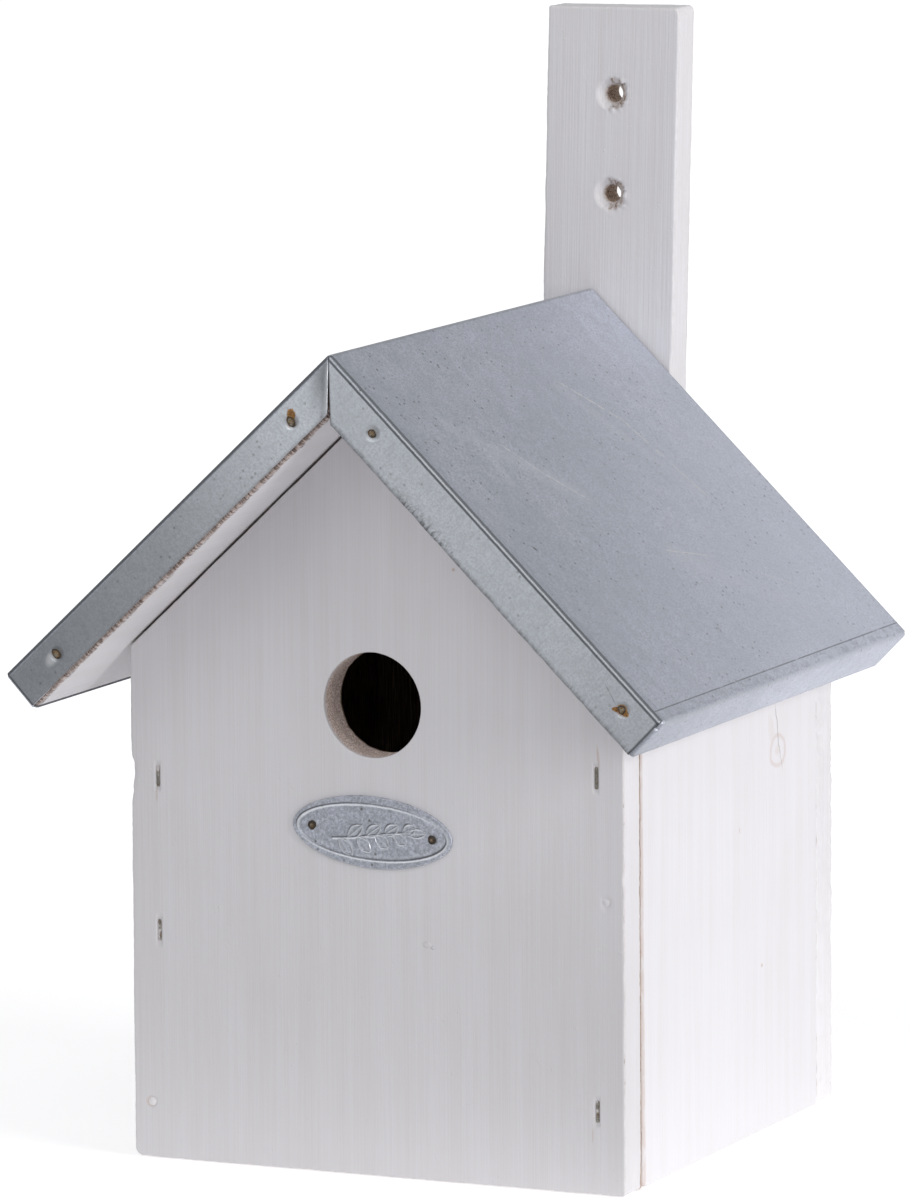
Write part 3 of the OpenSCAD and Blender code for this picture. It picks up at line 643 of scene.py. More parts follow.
def painted_wood(name, shift, grooves, marks=None, tone=None, bores=()):
    """White paint over softwood. The grain vector holds the place across, along and into the board,
    and worn says where the wood is bare. marks adds stains: it gets the shader and the grain's
    split place and returns (stain, dark mark, raised paint), each from 0 to 1; the dark mark
    carries cracks and torn fibres, and on the roof boards also painted shade. tone scales the
    paint's brightness in the same way, and the boards use it for painted light and shade. Each bore
    is (centre, radius, start, dark, light) with the two colours of its fibres."""
    s = Shader(name)
    grain = s.attribute("grain", vector=True)
    worn = s.attribute("worn")
    x, y, z = s.split(grain)[:3]
    lines = s.noise(grain, (1.9, 0.016, 1.9), 3, 0.62, offset=(shift, 0, 0))
    broad = s.noise(grain, (0.16, 0.006, 0.16), 2, 0.5, offset=(shift, 3, 0))
    fibre = s.noise(grain, (5.0, 0.12, 5.0), 2, 0.6, offset=(0, shift, 0))
    cloud = s.noise(grain, (0.035, 0.03, 0.035), 2, 0.5, offset=(shift, 7, 1))
    crumb = s.cells(grain, (0.42, 0.30, 0.42), offset=(shift, 1, 5))
    crumb_place = s.noise(grain, (0.09, 0.09, 0.09), 1, 0.5, offset=(9, shift, 2))
    groove = s.remap(lines, 0.60, 0.40)
    stain, crack, raised = marks(s, x, y, z) if marks else (None, None, None)
    bits = s.times(s.remap(crumb, 0.16, 0.05), s.remap(crumb_place, 0.52, 0.66))
    scatter = s.noise(grain, (0.9, 0.35, 0.9), 4, 0.7, offset=(2, 5, shift))
    bare = s.remap(s.plus(worn, s.times(scatter, 0.9)), 0.86, 1.04)
    shade = s.plus(s.times(groove, 0.20 * grooves), s.times(s.remap(broad, 0.40, 0.62), 0.10),
                   s.times(s.remap(cloud, 0.4, 0.65), 0.06))
    paint = s.blend(shade, PAINT, PAINT_THIN)
    thin = s.remap(s.plus(worn, s.times(scatter, 0.6)), 0.42, 0.95, 0, 0.6)
    paint = s.blend(thin, paint, (0.56, 0.47, 0.43))
    wood = s.blend(s.remap(fibre, 0.35, 0.68), WOOD_DARK, WOOD_LIGHT)
    wood = s.blend(s.remap(lines, 0.55, 0.38, 0, 0.55), wood, WOOD_DARK)
    if stain is not None:
        paint = s.blend(s.times(stain, 0.75), paint, (0.60, 0.47, 0.42))
    # painted light and shade: tone scales the paint's brightness by place
    if tone:
        paint = s.vector("SCALE", paint, scale=tone(s, x, y, z))
    for centre, radius, start, dark, light in bores:
        share, fuzz = warm_bore(s, x, y, z, centre, radius, start)
        fibres = s.blend(s.remap(fuzz, 0.40, 0.60), dark, light)
        paint = s.blend(share, paint, fibres)
        torn = s.times(share, fuzz)
        raised = torn if raised is None else s.most(raised, torn)
    colour = s.blend(bare, paint, wood)
    # dark mark: cracks and torn fibres, and on the roof boards painted shade in the gap behind the
    # flanges
    if crack is not None:
        colour = s.blend(s.times(crack, 0.85), colour, (0.15, 0.085, 0.06))
    peel = s.noise(grain, (0.8, 0.5, 0.8), 3, 0.55, offset=(4, shift, 8))
    height = s.plus(s.times(lines, 0.10 * grooves), s.times(peel, 0.035), s.times(bits, 0.07),
                    s.times(fibre, bare, 0.22))
    if raised is not None:
        height = s.plus(height, s.times(raised, 0.25))
    if crack is not None:
        height = s.minus(height, s.times(crack, 0.25))
    rough = s.mix(bare, s.remap(peel, 0.3, 0.7, 0.52, 0.66, "LINEAR"), 0.88)
    return s.finish(colour, rough, s.relief(height), specular=0.35)


def bare_wood():
    """Unpainted softwood for the floor board, with growth lines along X."""
    s = Shader("bare_softwood")
    place = s.object_place()
    lines = s.noise(place, (0.012, 0.9, 0.9), 3, 0.6, 0.4)
    fibre = s.noise(place, (0.08, 4.0, 4.0), 2, 0.6)
    pores = s.cells(place, (0.05, 1.4, 1.4))
    colour = s.blend(s.remap(lines, 0.38, 0.64), (0.42, 0.30, 0.20), (0.60, 0.47, 0.34))
    colour = s.blend(s.remap(fibre, 0.6, 0.4, 0, 0.35), colour, (0.28, 0.19, 0.12))
    normal = s.relief(s.plus(s.times(lines, 0.12), s.times(fibre, 0.06)))
    return s.finish(colour, s.remap(pores, 0, 0.6, 0.75, 0.9, "LINEAR"), normal, specular=0.3)


def galvanised(name, fine=1.0, marks=None):
    """Zinc-coated sheet: an even grey with a fine grain, faint clouds and small dark specks. The
    fold attribute marks painted highlights, on the folds and on the plaque's relief, and the edge
    attribute marks painted shade beside the seam and on the plaque's relief, and darker lower edges
    of the flanges. marks adds what one piece has: it gets the shader and the base, and returns
    (base, rust, relief)."""
    s = Shader(name)
    fold, edge = s.attribute("fold"), s.attribute("edge")
    place = s.object_place()
    cloud = s.noise(place, (0.020 * fine,) * 3, 3, 0.5, 0.3)
    mottle = s.noise(place, (0.15 * fine,) * 3, 4, 0.6, 0.5)
    grit = s.noise(place, (1.5, 1.5, 1.5), 3, 0.7)
    speck_cells = s.cells(place, (0.31, 0.31, 0.31))
    speck_where = s.noise(place, (0.028, 0.028, 0.028), 2, 0.5, offset=(4, 1, 7))
    speck = s.times(s.remap(speck_cells, 0.18, 0.07), s.remap(speck_where, 0.36, 0.54))
    base = s.blend(s.remap(cloud, 0.36, 0.64), (0.52, 0.545, 0.615), (0.58, 0.60, 0.675))
    base = s.blend(s.remap(mottle, 0.36, 0.66, 0, 0.42), base, (0.41, 0.43, 0.47))
    base = s.blend(s.remap(grit, 0.40, 0.62, 0, 0.72), base, (0.34, 0.36, 0.40))
    base = s.blend(s.times(speck, 0.80), base, (0.13, 0.12, 0.115))
    base, rust, relief = marks(s, base) if marks else (base, 0.0, 0.0)
    # painted highlight where the fold attribute is set
    base = s.blend(s.times(fold, 0.80), base, (0.80, 0.82, 0.85))
    # painted shade, and darker lower edges, where the edge attribute is set
    base = s.blend(s.times(edge, edge, 0.85), base, (0.11, 0.11, 0.12))
    fine_rust = s.noise(place, (1.9, 1.9, 1.9), 4, 0.75)
    ragged = s.remap(s.plus(rust, s.times(fine_rust, 1.6)), 1.10, 1.42)
    rust_tone = s.blend(s.remap(fine_rust, 0.42, 0.62), (0.17, 0.075, 0.025), (0.50, 0.27, 0.09))
    base = s.blend(ragged, base, rust_tone)
    normal = s.relief(s.plus(s.times(mottle, 0.02), s.times(grit, 0.012), relief))
    rough = s.mix(fold, s.remap(mottle, 0.3, 0.7, 0.50, 0.58, "LINEAR"), 0.36)
    rough = s.mix(ragged, rough, 0.9)
    return s.finish(base, rough, normal, metallic=s.mix(ragged, 0.70, 0.0))


class Blank:
    """Place on the roof's flat blank: x down the slope from the ridge (left slope negative), y
    from front to back, and z the way from the front fold inwards, which is negative round the
    fold and on the front flange. out is x without its sign. pan, front and right are 1 on the
    pan, on the front flange and on the right slope."""

    def __init__(self, s):
        self.x, self.y, self.z = s.split(s.attribute("blank", vector=True))[:3]
        self.out = s.size(self.x)
        self.pan = s.remap(self.z, 0.4, 1.2)
        self.front = s.remap(self.z, -1.9, -2.3)
        self.right = s.remap(self.x, -0.5, 0.5)


def roof_tones(s, at, base):
    """Painted light and shade: the pan is painted lighter towards the back and the eave, and the
    front flanges' brightness is scaled by their distance from the ridge, the left one darker
    downwards and with a painted shadow of the seam's curl beside the seam. Both front flanges are
    also brushed lengthwise."""
    # painted light: the pan lighter towards the back and the eave
    tone = s.plus(s.times(at.out, 0.0035), s.times(at.y, 0.0042))
    base = s.blend(s.times(s.remap(tone, -0.35, 0.85, 0, 0.30), at.pan), base, (0.64, 0.66, 0.76))
    base = s.vector("SCALE", base, scale=s.mix(at.pan, 1.0, s.remap(tone, -0.35, 0.85, 0.92, 1.27)))
    # painted shadow of the seam's curl on the left flange
    beside = s.plus(at.out, s.times(at.z, math.tan(PITCH[LEFT])))
    shadow = s.times(s.remap(beside, 10.0, 1.0, 0, 0.48), s.remap(at.z, -14.0, -3.0))
    # painted light and shade: the front flanges' brightness by their distance from the ridge
    left_tone = s.minus(s.remap(at.out, 25.0, 80.0, 1.60, 0.96, "LINEAR"),
                        s.remap(at.out, 80.0, 130.0, 0.0, 0.22, "LINEAR"))
    left_tone = s.times(left_tone, s.minus(1.0, shadow))
    right_tone = s.remap(at.out, 105.0, 145.0, 1.46, 1.28)
    flange_tone = s.mix(at.right, left_tone, right_tone)
    base = s.blend(s.times(at.front, 0.45), base, (0.455, 0.477, 0.533))
    base = s.vector("SCALE", base, scale=s.mix(at.front, 1.0, flange_tone))
    base = s.blend(at.front, base, (1.0, 1.0, 0.95), "MULTIPLY")
    brush = s.noise(s.join(at.x, at.z), (1.6, 0.10, 1.0), 3, 0.7)
    return s.blend(s.times(at.front, s.remap(brush, 0.46, 0.68, 0, 0.14)), base, (0.30, 0.32, 0.34))


# Marks on the right pan, as places on the blank: each smear and scratch is start, end and width
SMEARS = (
    ((32.2, -84.8), (50.4, -64.0), 4.5), ((45.5, -68.0), (72.0, -38.4), 5.5),
    ((35.7, -70.7), (60.4, -75.5), 3.5), ((29.9, 4.0), (82.3, 33.0), 4.0),
    ((96.0, -20.0), (135.0, 40.0), 7.0),
)
SCRATCHES = (
    ((29.9, 7.5), (48.7, 25.5), 0.65), ((48.7, 25.5), (67.5, 31.0), 0.75),
    ((67.5, 31.0), (84.0, 35.5), 0.65), ((45.5, -60.9), (58.0, -52.0), 0.45),
    ((58.0, -52.0), (72.0, -38.4), 0.5), ((96.0, -20.0), (103.0, 6.0), 0.4),
    ((112.0, 22.0), (121.0, 40.0), 0.35),
)
SPECKS = (
    (80.8, -89.7), (72.7, -89.7), (70.0, -52.6), (41.9, -5.3), (82.5, 39.0), (84.2, 39.2),
    (84.0, 53.3), (98.5, 38.6), (101.1, 41.4), (103.2, 38.6), (103.0, 32.5), (110.5, 15.4),
    (111.2, 17.3), (111.4, 4.2), (95.4, 8.1),
)


def pan_marks(s, at, base):
    """Pale smears, ragged scratches and dark specks on the right pan."""
    ragged = s.remap(s.noise(s.join(at.x, at.y), (0.6, 0.6, 1.0), 3, 0.6, offset=(0, 6, 2)),
                     0.35, 0.6)
    smears = s.most(*[s.line(at.x, at.y, *smear) for smear in SMEARS])
    base = s.blend(s.times(smears, at.pan, 0.20), base, (0.66, 0.67, 0.72))
    scratches = s.most(*[s.line(at.x, at.y, *scratch) for scratch in SCRATCHES])
    base = s.blend(s.times(scratches, ragged, 0.85), base, (0.74, 0.72, 0.73))
    spots = [s.spot(at.x, at.y, (82.0, -96.0), (1.5, 0.75), 0.5)]
    spots += [s.spot(at.x, at.y, place, (0.55, 0.4)) for place in SPECKS]
    return s.blend(s.times(s.most(*spots), 0.75), base, (0.12, 0.115, 0.12))


def flange_smudges(s, at, base):
    """Dark smudges along the right flange's lower edge, and a curled scratch near its end."""
    smudge = s.noise(s.join(at.x, at.z), (0.9, 0.30, 1.0), 4, 0.75, 0.8, offset=(3, 0, 0))
    low = s.most(s.times(s.remap(at.z, -11.0, -15.5), s.spot(at.x, 0.0, (55, 0), (17, 9))),
                 s.times(s.remap(at.z, -13.4, -15.4), 0.55))
    smudge = s.times(low, at.right, s.remap(smudge, 0.44, 0.58))
    base = s.blend(s.times(smudge, 0.75), base, (0.13, 0.13, 0.125))
    curl = s.most(s.line(at.x, at.z, (129.1, -5.8), (131.8, -6.6), 0.25),
                  s.line(at.x, at.z, (131.8, -6.6), (135.2, -7.6), 0.25))
    return s.blend(s.times(curl, 0.5), base, (0.17, 0.17, 0.17))


def fold_marks(s, at, base):
    """The front folds: on the right two painted dark reflections with a painted highlight between
    them, on the left one painted dark reflection, and on the pan a painted shade and a faint broken
    line beside them."""
    wander = s.minus(s.noise(s.join(at.x, 0.0), (0.25, 1.0, 1.0), 2, 0.5), 0.5)
    way = s.plus(at.z, s.times(wander, 0.25))
    inside = s.remap(at.out, SLOPE - 0.2, SLOPE - 1.2)
    # painted dark reflections along the rounded folds
    painted_dark_reflections = s.most(s.stripe(way, -0.25, 0.85, 0.50), s.stripe(way, -1.85, 0.52, 0.22))
    painted_dark_reflections = s.mix(at.right, s.stripe(way, -0.75, 1.20, 0.90), painted_dark_reflections)
    # gleam: painted highlight on the right fold
    gleam = s.times(s.stripe(way, -1.18, 0.34, 0.10), at.right,
                    s.remap(at.out, 4.0, 50.0, 0.25, 1.0))
    # painted shade on the pan beside the fold
    shade = s.times(s.remap(at.z, 5.5, 0.3), s.remap(at.z, -0.2, 0.3))
    faint = s.times(s.stripe(way, 3.4, 0.35, 0.05),
                    s.remap(s.noise(s.join(at.x, 4.0), (0.10, 1.0, 1.0), 2, 0.5), 0.45, 0.6))
    base = s.blend(s.times(shade, 0.22), base, (0.25, 0.27, 0.30))
    base = s.blend(s.times(faint, 0.35), base, (0.22, 0.23, 0.25))
    base = s.blend(s.times(gleam, inside), base, (0.54, 0.56, 0.58))
    return s.blend(s.times(painted_dark_reflections, inside, 0.80), base, (0.10, 0.11, 0.115))


def brake_marks(s, at, base):
    """The press brake's broken line on the pan near the eave, and the scuffed band beyond it.
    Returns the base and both marks."""
    broken = s.remap(s.noise(s.join(at.x, at.y), (0.5, 0.14, 1.0), 3, 0.6), 0.26, 0.46)
    brake = s.times(s.stripe(at.out, BRAKE_LINE, 0.34, 0.10), broken, at.pan)
    band = s.times(s.remap(at.out, BRAKE_LINE + 0.1, BRAKE_LINE + 0.9),
                   s.remap(at.out, SLOPE - 0.5, SLOPE - 1.3))
    scuff = s.remap(s.noise(s.join(at.x, at.y), (0.5, 0.22, 1.0), 3, 0.7, 0.5, offset=(2, 0, 0)),
                    0.46, 0.62)
    scuff = s.times(band, scuff, at.pan)
    base = s.blend(s.times(scuff, 0.26), base, (0.27, 0.28, 0.305))
    return s.blend(s.times(brake, 0.62), base, (0.15, 0.155, 0.17)), brake, scuff


def edge_marks(s, at, base):
    """Darkens the ridge, and paints shade along the pan's back edge and in the gap at the front
    flanges' ends at the eave corners.
    """
    # painted shade along the back edge, and a dark line on the ridge
    rim = s.most(s.times(s.remap(at.y, SHEET_BACK - 1.8, SHEET_BACK - 0.8), 0.45),
                 s.times(s.remap(at.out, 1.6, 0.5), 0.5))
    base = s.blend(rim, base, (0.17, 0.18, 0.195))
    # painted shade in the gap at the front flanges' ends
    end = s.times(s.remap(at.z, -1.4, -1.9), s.stripe(at.out, SLOPE - FOLD, 0.75, 0.25))
    return s.blend(s.times(end, 0.85), base, (0.10, 0.105, 0.11))


def nail_marks(s, at, base):
    """A dimple round each front nail with painted shade in it, rust on and beside some of them, and
    a painted highlight on the dent by the lower left one. Returns the base, the rust and the dimple
    relief, which also sets that painted shade."""
    dimple_relief_and_shade, rusts = [], []
    for side in SIDES:
        for count, run in enumerate(flange_nail_places()[side]):
            centre = (side * run, SHEET_FRONT - NAIL_DROP)
            dimple_relief_and_shade.append(s.spot(at.x, at.y, centre, (2.8, 2.8)))
            share = 0.40 + 0.30 * count if side == RIGHT else 0.60 - 0.20 * count
            rusts.append(s.times(s.spot(at.x, at.y, centre, (2.6, 2.6)), share))
    for run, drop, size, turn in ((-21.9, 5.3, (2.9, 1.9), 0.82),
                                  (SLOPE - 12.9, 7.6, (2.5, 1.1), 0.77),
                                  (SLOPE - 10.5, NAIL_DROP, (1.9, 1.4), 0.0)):
        rusts.append(s.spot(at.x, at.y, (run, SHEET_FRONT - drop), size, turn))
    # painted highlight on the dent by the lower left nail
    painted_dent_highlight = s.spot(at.x, at.y, (16.2 - SLOPE, SHEET_FRONT - NAIL_DROP), (3.6, 2.2), 0.3)
    base = s.blend(s.times(painted_dent_highlight, 0.6), base, (0.80, 0.81, 0.83))
    dimple_relief_and_shade = s.most(*dimple_relief_and_shade)
    # painted shade in the dimple round each nail
    base = s.blend(s.times(dimple_relief_and_shade, 0.15), base, (0.22, 0.23, 0.24))
    return base, s.most(*rusts), dimple_relief_and_shade


def roof_marks(s, base):
    """All marks of the roof sheet, painted light and shade among them, one laid over the other."""
    at = Blank(s)
    for marks in (roof_tones, pan_marks, flange_smudges, fold_marks):
        base = marks(s, at, base)
    base, brake, scuff = brake_marks(s, at, base)
    base = edge_marks(s, at, base)
    base, rust, dimple_relief_and_shade = nail_marks(s, at, base)
    relief = s.minus(s.times(dimple_relief_and_shade, -0.5), s.times(brake, 0.10))
    return base, rust, s.plus(relief, s.times(scuff, 0.04))


def plaque_marks(s, base):
    """The plaque's zinc is a little lighter than the roof's and uneven, as thumbed metal is."""
    uneven = s.noise(s.object_place(), (1.0, 1.0, 1.0), 4, 0.75, 0.4, offset=(1, 8, 3))
    return s.vector("SCALE", base, scale=s.remap(uneven, 0.34, 0.66, 0.90, 1.34)), 0.0, 0.0


def rusty_steel(name, rust_share, paint_share=0.0, head=False):
    """Steel with rust in patches, and drops of the wall paint where it was brushed over. On a nail
    with a head, rim is 0 at the head's middle, which is lighter olive, and 1 at its rim, which is
    painted dark as shade round the head."""
    s = Shader(name)
    place = s.object_place()
    patches = s.noise(place, (0.9, 0.9, 0.9), 4, 0.7)
    fine = s.noise(place, (3.2, 3.2, 3.2), 3, 0.65)
    pits = s.cells(place, (2.1, 2.1, 2.1))
    rust = s.remap(patches, 0.72 - 0.5 * rust_share, 0.84 - 0.5 * rust_share)
    steel = s.blend(s.remap(fine, 0.35, 0.65), (0.20, 0.19, 0.18), (0.42, 0.40, 0.34))
    brown = s.blend(s.remap(fine, 0.38, 0.62), (0.055, 0.035, 0.02), (0.30, 0.19, 0.09))
    colour = s.blend(rust, steel, brown)
    if head:
        rim = s.plus(s.attribute("rim"), s.times(fine, 0.5))
        colour = s.blend(s.remap(rim, 0.66, 0.36, 0, 0.65), colour, (0.30, 0.25, 0.16))
        # painted shade: the head's rim is darkened
        colour = s.blend(s.remap(rim, 0.80, 1.15, 0, 0.88), colour, (0.035, 0.024, 0.016))
    metal = s.mix(rust, 0.9, 0.05)
    rough = s.mix(rust, 0.42, 0.9)
    if paint_share:
        daub = s.remap(s.noise(place, (0.35, 0.35, 0.30), 2, 0.5, offset=(5, 2, 1)),
                       0.66 - 0.4 * paint_share, 0.72 - 0.4 * paint_share)
        colour = s.blend(daub, colour, (0.60, 0.56, 0.56))
        metal = s.mix(daub, metal, 0.0)
        rough = s.mix(daub, rough, 0.6)
    height = s.plus(s.times(fine, 0.06), s.times(s.remap(pits, 0.0, 0.4), 0.05))
    return s.finish(colour, rough, s.relief(height), metallic=metal)


def floor_finish():
    """Pale matt studio floor with a barely uneven tone. A painted pool of light, which the floor
    gives off itself, lies on it round the box and widens behind it, shaped as a lamp behind the box
    would throw it. Further in front of the box the floor is a darker grey without that glow, which
    throws less light up onto the box."""
    s = Shader("studio_floor")
    place = s.object_place()
    x, y = s.split(place)[:2]
    tone = s.noise(place, (0.002, 0.002, 0.002), 2, 0.5)
    colour = s.blend(s.remap(tone, 0.3, 0.7), (0.86, 0.86, 0.865), (0.88, 0.88, 0.88))
    c, n = math.cos(POOL_TURN), math.sin(POOL_TURN)
    across = s.size(s.plus(s.times(x, c), s.times(y, n)))
    behind = s.minus(s.times(y, c), s.times(x, n))
    reach = s.plus(POOL_REACH, s.times(s.most(behind, 0.0), POOL_SPREAD))
    near = s.remap(behind, POOL_START, POOL_FULL)
    pool = s.times(s.remap(s.minus(reach, across), 0.0, POOL_FADE), near)
    # darker grey floor in front of the box, which throws less light up onto its front
    colour = s.blend(near, (0.62, 0.62, 0.625), colour)
    power = s.remap(behind, 150.0, 900.0, *POOL_LIGHT)
    s.main.inputs["Emission Color"].default_value = (1.0, 1.0, 1.0, 1.0)
    # painted pool of light: the floor gives off light itself round and behind the box
    s.feed(s.main.inputs["Emission Strength"], s.times(pool, power))
    return s.finish(colour, s.remap(tone, 0.3, 0.7, 0.8, 0.9, "LINEAR"), specular=0.0)


# Boards


def side_height(side):
    """Height of a side's top edge."""
    return PEAK - WIDTH / 2 * math.tan(PITCH[side]) - SEAT / math.cos(PITCH[side])


def back_staple_heights(side):
    """Three heights: the lowest 28 above the ground, the highest 30 below the side's top."""
    return np.linspace(28.0, side_height(side) - 30.0, 3)


def staple_slot(local, u, v, level=False):
    """Sinks the outer face by half a millimetre along a staple's back."""
    across, along = (1, 0) if level else (0, 1)
    away = np.abs(local[:, across] - (v if level else u))
    length = np.abs(local[:, along] - (u if level else v))
    depth = smooth((1.0 - away) / 0.35) * smooth((4.8 - length) / 0.9)
    local[:, 2] += 0.5 * depth * beyond(local[:, 2], 0.4)


def pin_ring(local, u, v):
    """Sinks a shallow ring into the outer face round a pin's head."""
    radius = np.hypot(local[:, 0] - u, local[:, 1] - v)
    sink = 0.30 * smooth((1.75 - radius) / 0.35)
    local[:, 2] += sink * beyond(local[:, 2], 0.4)


def sagging(local, seed, amount):
    """Lets a board's two faces wander inwards a little, as hand-brushed softwood does."""
    u, v, w = local.T
    share = w / max(w.max(), 1)
    wander = amount * (0.5 + 0.5 * noise(seed, u / 28, v / 90))
    local[:, 2] += wander * (1 - share) - wander * share


def board_piece(name, board, place, material, change, worn, node):
    """Object of a board: change moves its points, and its axes place it in the part. worn tells
    where it is bare, from its points before the change."""
    shell = board.build()
    local = shell.all_points().astype(float)
    plan = local.copy()
    change(local)
    item = make_object(name, placed(local, *place), shell.faces, material,
                       {"grain": local, "worn": np.clip(worn(plan), 0, 1)})
    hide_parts(node)
    return item


def near_edges(plan, board, reach):
    """1 at the outer edges of both faces, falling to 0 inside."""
    u, v, w = plan.T
    sides = np.minimum(np.minimum(u - board.left(v), board.right(v) - u),
                       np.minimum(v - board.bottom, board.top(u, w) - v))
    level = np.maximum(np.minimum(w, board.depth - w), 0)
    return smooth(1 - np.maximum(sides, 0) / reach) * smooth(1.5 - level / (1.4 * reach))


def bare_back(w):
    """1 on a wall's inner face, which stays unpainted."""
    return smooth((w - BOARD + 0.9) / 0.5)


def under_roof(below, w, reach=1.0, fade=0.7):
    """1 on a board's top edge, from how far below it a point lies, but not on its outer face."""
    return smooth((reach - below) / fade) * smooth((w - 0.1) / 0.4)


def worn_foot(v):
    """1 on a board's foot."""
    return smooth((0.5 - v) / 0.4)


def build_front_board(step, ragged):
    """The front: a gable outline, the entrance hole, four staple slots and two pin rings."""
    def top(u, w):
        return gable(u, GABLE_GAP[LEFT] - 0.55, GABLE_GAP[RIGHT])

    half = WIDTH / 2
    u_focus = [(half + ENTRANCE[0], 19, 0.8)]
    v_focus = [(ENTRANCE[1], 19, 0.8)]
    for side in SIDES:
        u_focus += [(half + side * STAPLE_X, 1.5, 0.33), (half + side * PIN_X, 2.0, 0.35)]
        v_focus += [(PINS[side], 2.0, 0.35)]
        v_focus += [(z + end, 1.2, 0.5) for z in STAPLES[side] for end in STAPLE_ENDS]
    hole = (ENTRANCE[0], ENTRANCE[1], hole_profile(BOARD, ENTRANCE[2], 0.35, 14))
    board = Board(even(-half), even(half), top, BOARD, arris=0.45,
                  corners=(2.6, 1.0, 0.6, 0.6), holes=(hole,), step=step, rise=1.35,
                  u_focus=u_focus, v_focus=v_focus)

    def change(local):
        for side in SIDES:
            for z in STAPLES[side]:
                staple_slot(local, side * STAPLE_X, z)
            pin_ring(local, side * PIN_X, PINS[side])
        sagging(local, 3, 0.10)
        edge_wear(local, board, ragged, 11, 6.0)
        dent(local, -half, NICK, 0, (1.6, 4.2, 7), (0.85, 0, 0.25))
        dent(local, -half, 121.5, 0, (1.0, 1.2, 3), (0.5, 0, 0.2))
        dent(local, -half, 112.5, 0, (1.0, 2.0, 3), (0.35, 0, 0.1))
        dent(local, half, 96.0, 0, (0.8, 2.0, 3), (-0.35, 0, 0))
        dent(local, half, 3.0, 8, (1.2, 3.0, 4), (-0.5, 0, 0))
        u, v, w = local.T
        du, dv = u - ENTRANCE[0], v - ENTRANCE[1]
        radius = np.hypot(du, dv)
        turn = np.arctan2(dv, du)
        wall = beyond(radius - ENTRANCE[2], 0.9) * smooth(w / 1.2)
        fuzz = 0.10 + 0.16 * noise(5, turn * 9, w * 0.55) + 0.10 * noise(6, turn * 28, w * 1.4)
        ring = 0.22 * bump(w - 9.6, 0.55)
        push = wall * (np.maximum(fuzz, 0) + ring) / np.maximum(radius, 1)
        local[:, 0] += du * push
        local[:, 1] += dv * push

    def worn(plan):
        u, v, w = plan.T
        radius = np.hypot(u - ENTRANCE[0], v - ENTRANCE[1])
        hole_wall = smooth((ENTRANCE[2] + 1 - radius) / 0.4) * smooth((w - 0.45) / 1.2)
        rim = 0.34 * near_edges(plan, board, 0.8) * smooth((2.0 - w) / 1.0)
        notch = 0.42 * bump(v - NICK, 6.0) * bump(u + half, 1.4)
        back_edge = 0.16 * smooth((w - BOARD + 1.6) / 1.0) * near_edges(plan, board, 1.0)
        return np.max([bare_back(w) * 0.95, hole_wall * 0.20, under_roof(top(u, w) - v, w) * 0.85,
                       worn_foot(v) * 0.30, rim, notch, back_edge], axis=0)

    def marks(s, x, y, z):
        face = s.remap(z, 1.2, 0.6)
        raised = s.most(s.spot(x, y, (17.0, 72.2), (1.7, 1.1)),
                        s.spot(x, y, (19.0, 71.4), (0.9, 0.6)))
        dirt = s.most(s.spot(x, y, (26.5, 186.5), (0.7, 0.7)),
                      s.times(s.spot(x, y, (73.2, 132.5), (0.55, 4.5), 0.1), 0.75),
                      s.times(s.spot(x, y, (-72.9, 112.5), (0.5, 3.2)), 0.6),
                      s.times(s.spot(x, y, (71.0, 18.0), (0.4, 3.0)), 0.5),
                      s.spot(x, y, (-75.9, 17.3), (2.1, 2.1)))
        return s.times(dirt, face), None, s.times(raised, face)

    def tone(s, x, y, z):
        """Painted shade: the paint is darkened towards the base and the left, to offset the light
        that the floor throws up onto the front.
        """
        return s.times(s.remap(y, 15.0, 150.0, 0.87, 1.01), s.remap(x, -60.0, 50.0, 0.95, 1.0))

    material = painted_wood("paint_front", 2.0, 0.75, marks, tone, [
        (ENTRANCE[:2], ENTRANCE[2], 0.5, (0.56, 0.43, 0.37), (0.98, 0.85, 0.80))])
    place = ((0, FRONT_Y, 0), (1, 0, 0), (0, 0, 1), (0, 1, 0))
    return board_piece("front", board, place, material, change, worn, "front_board")


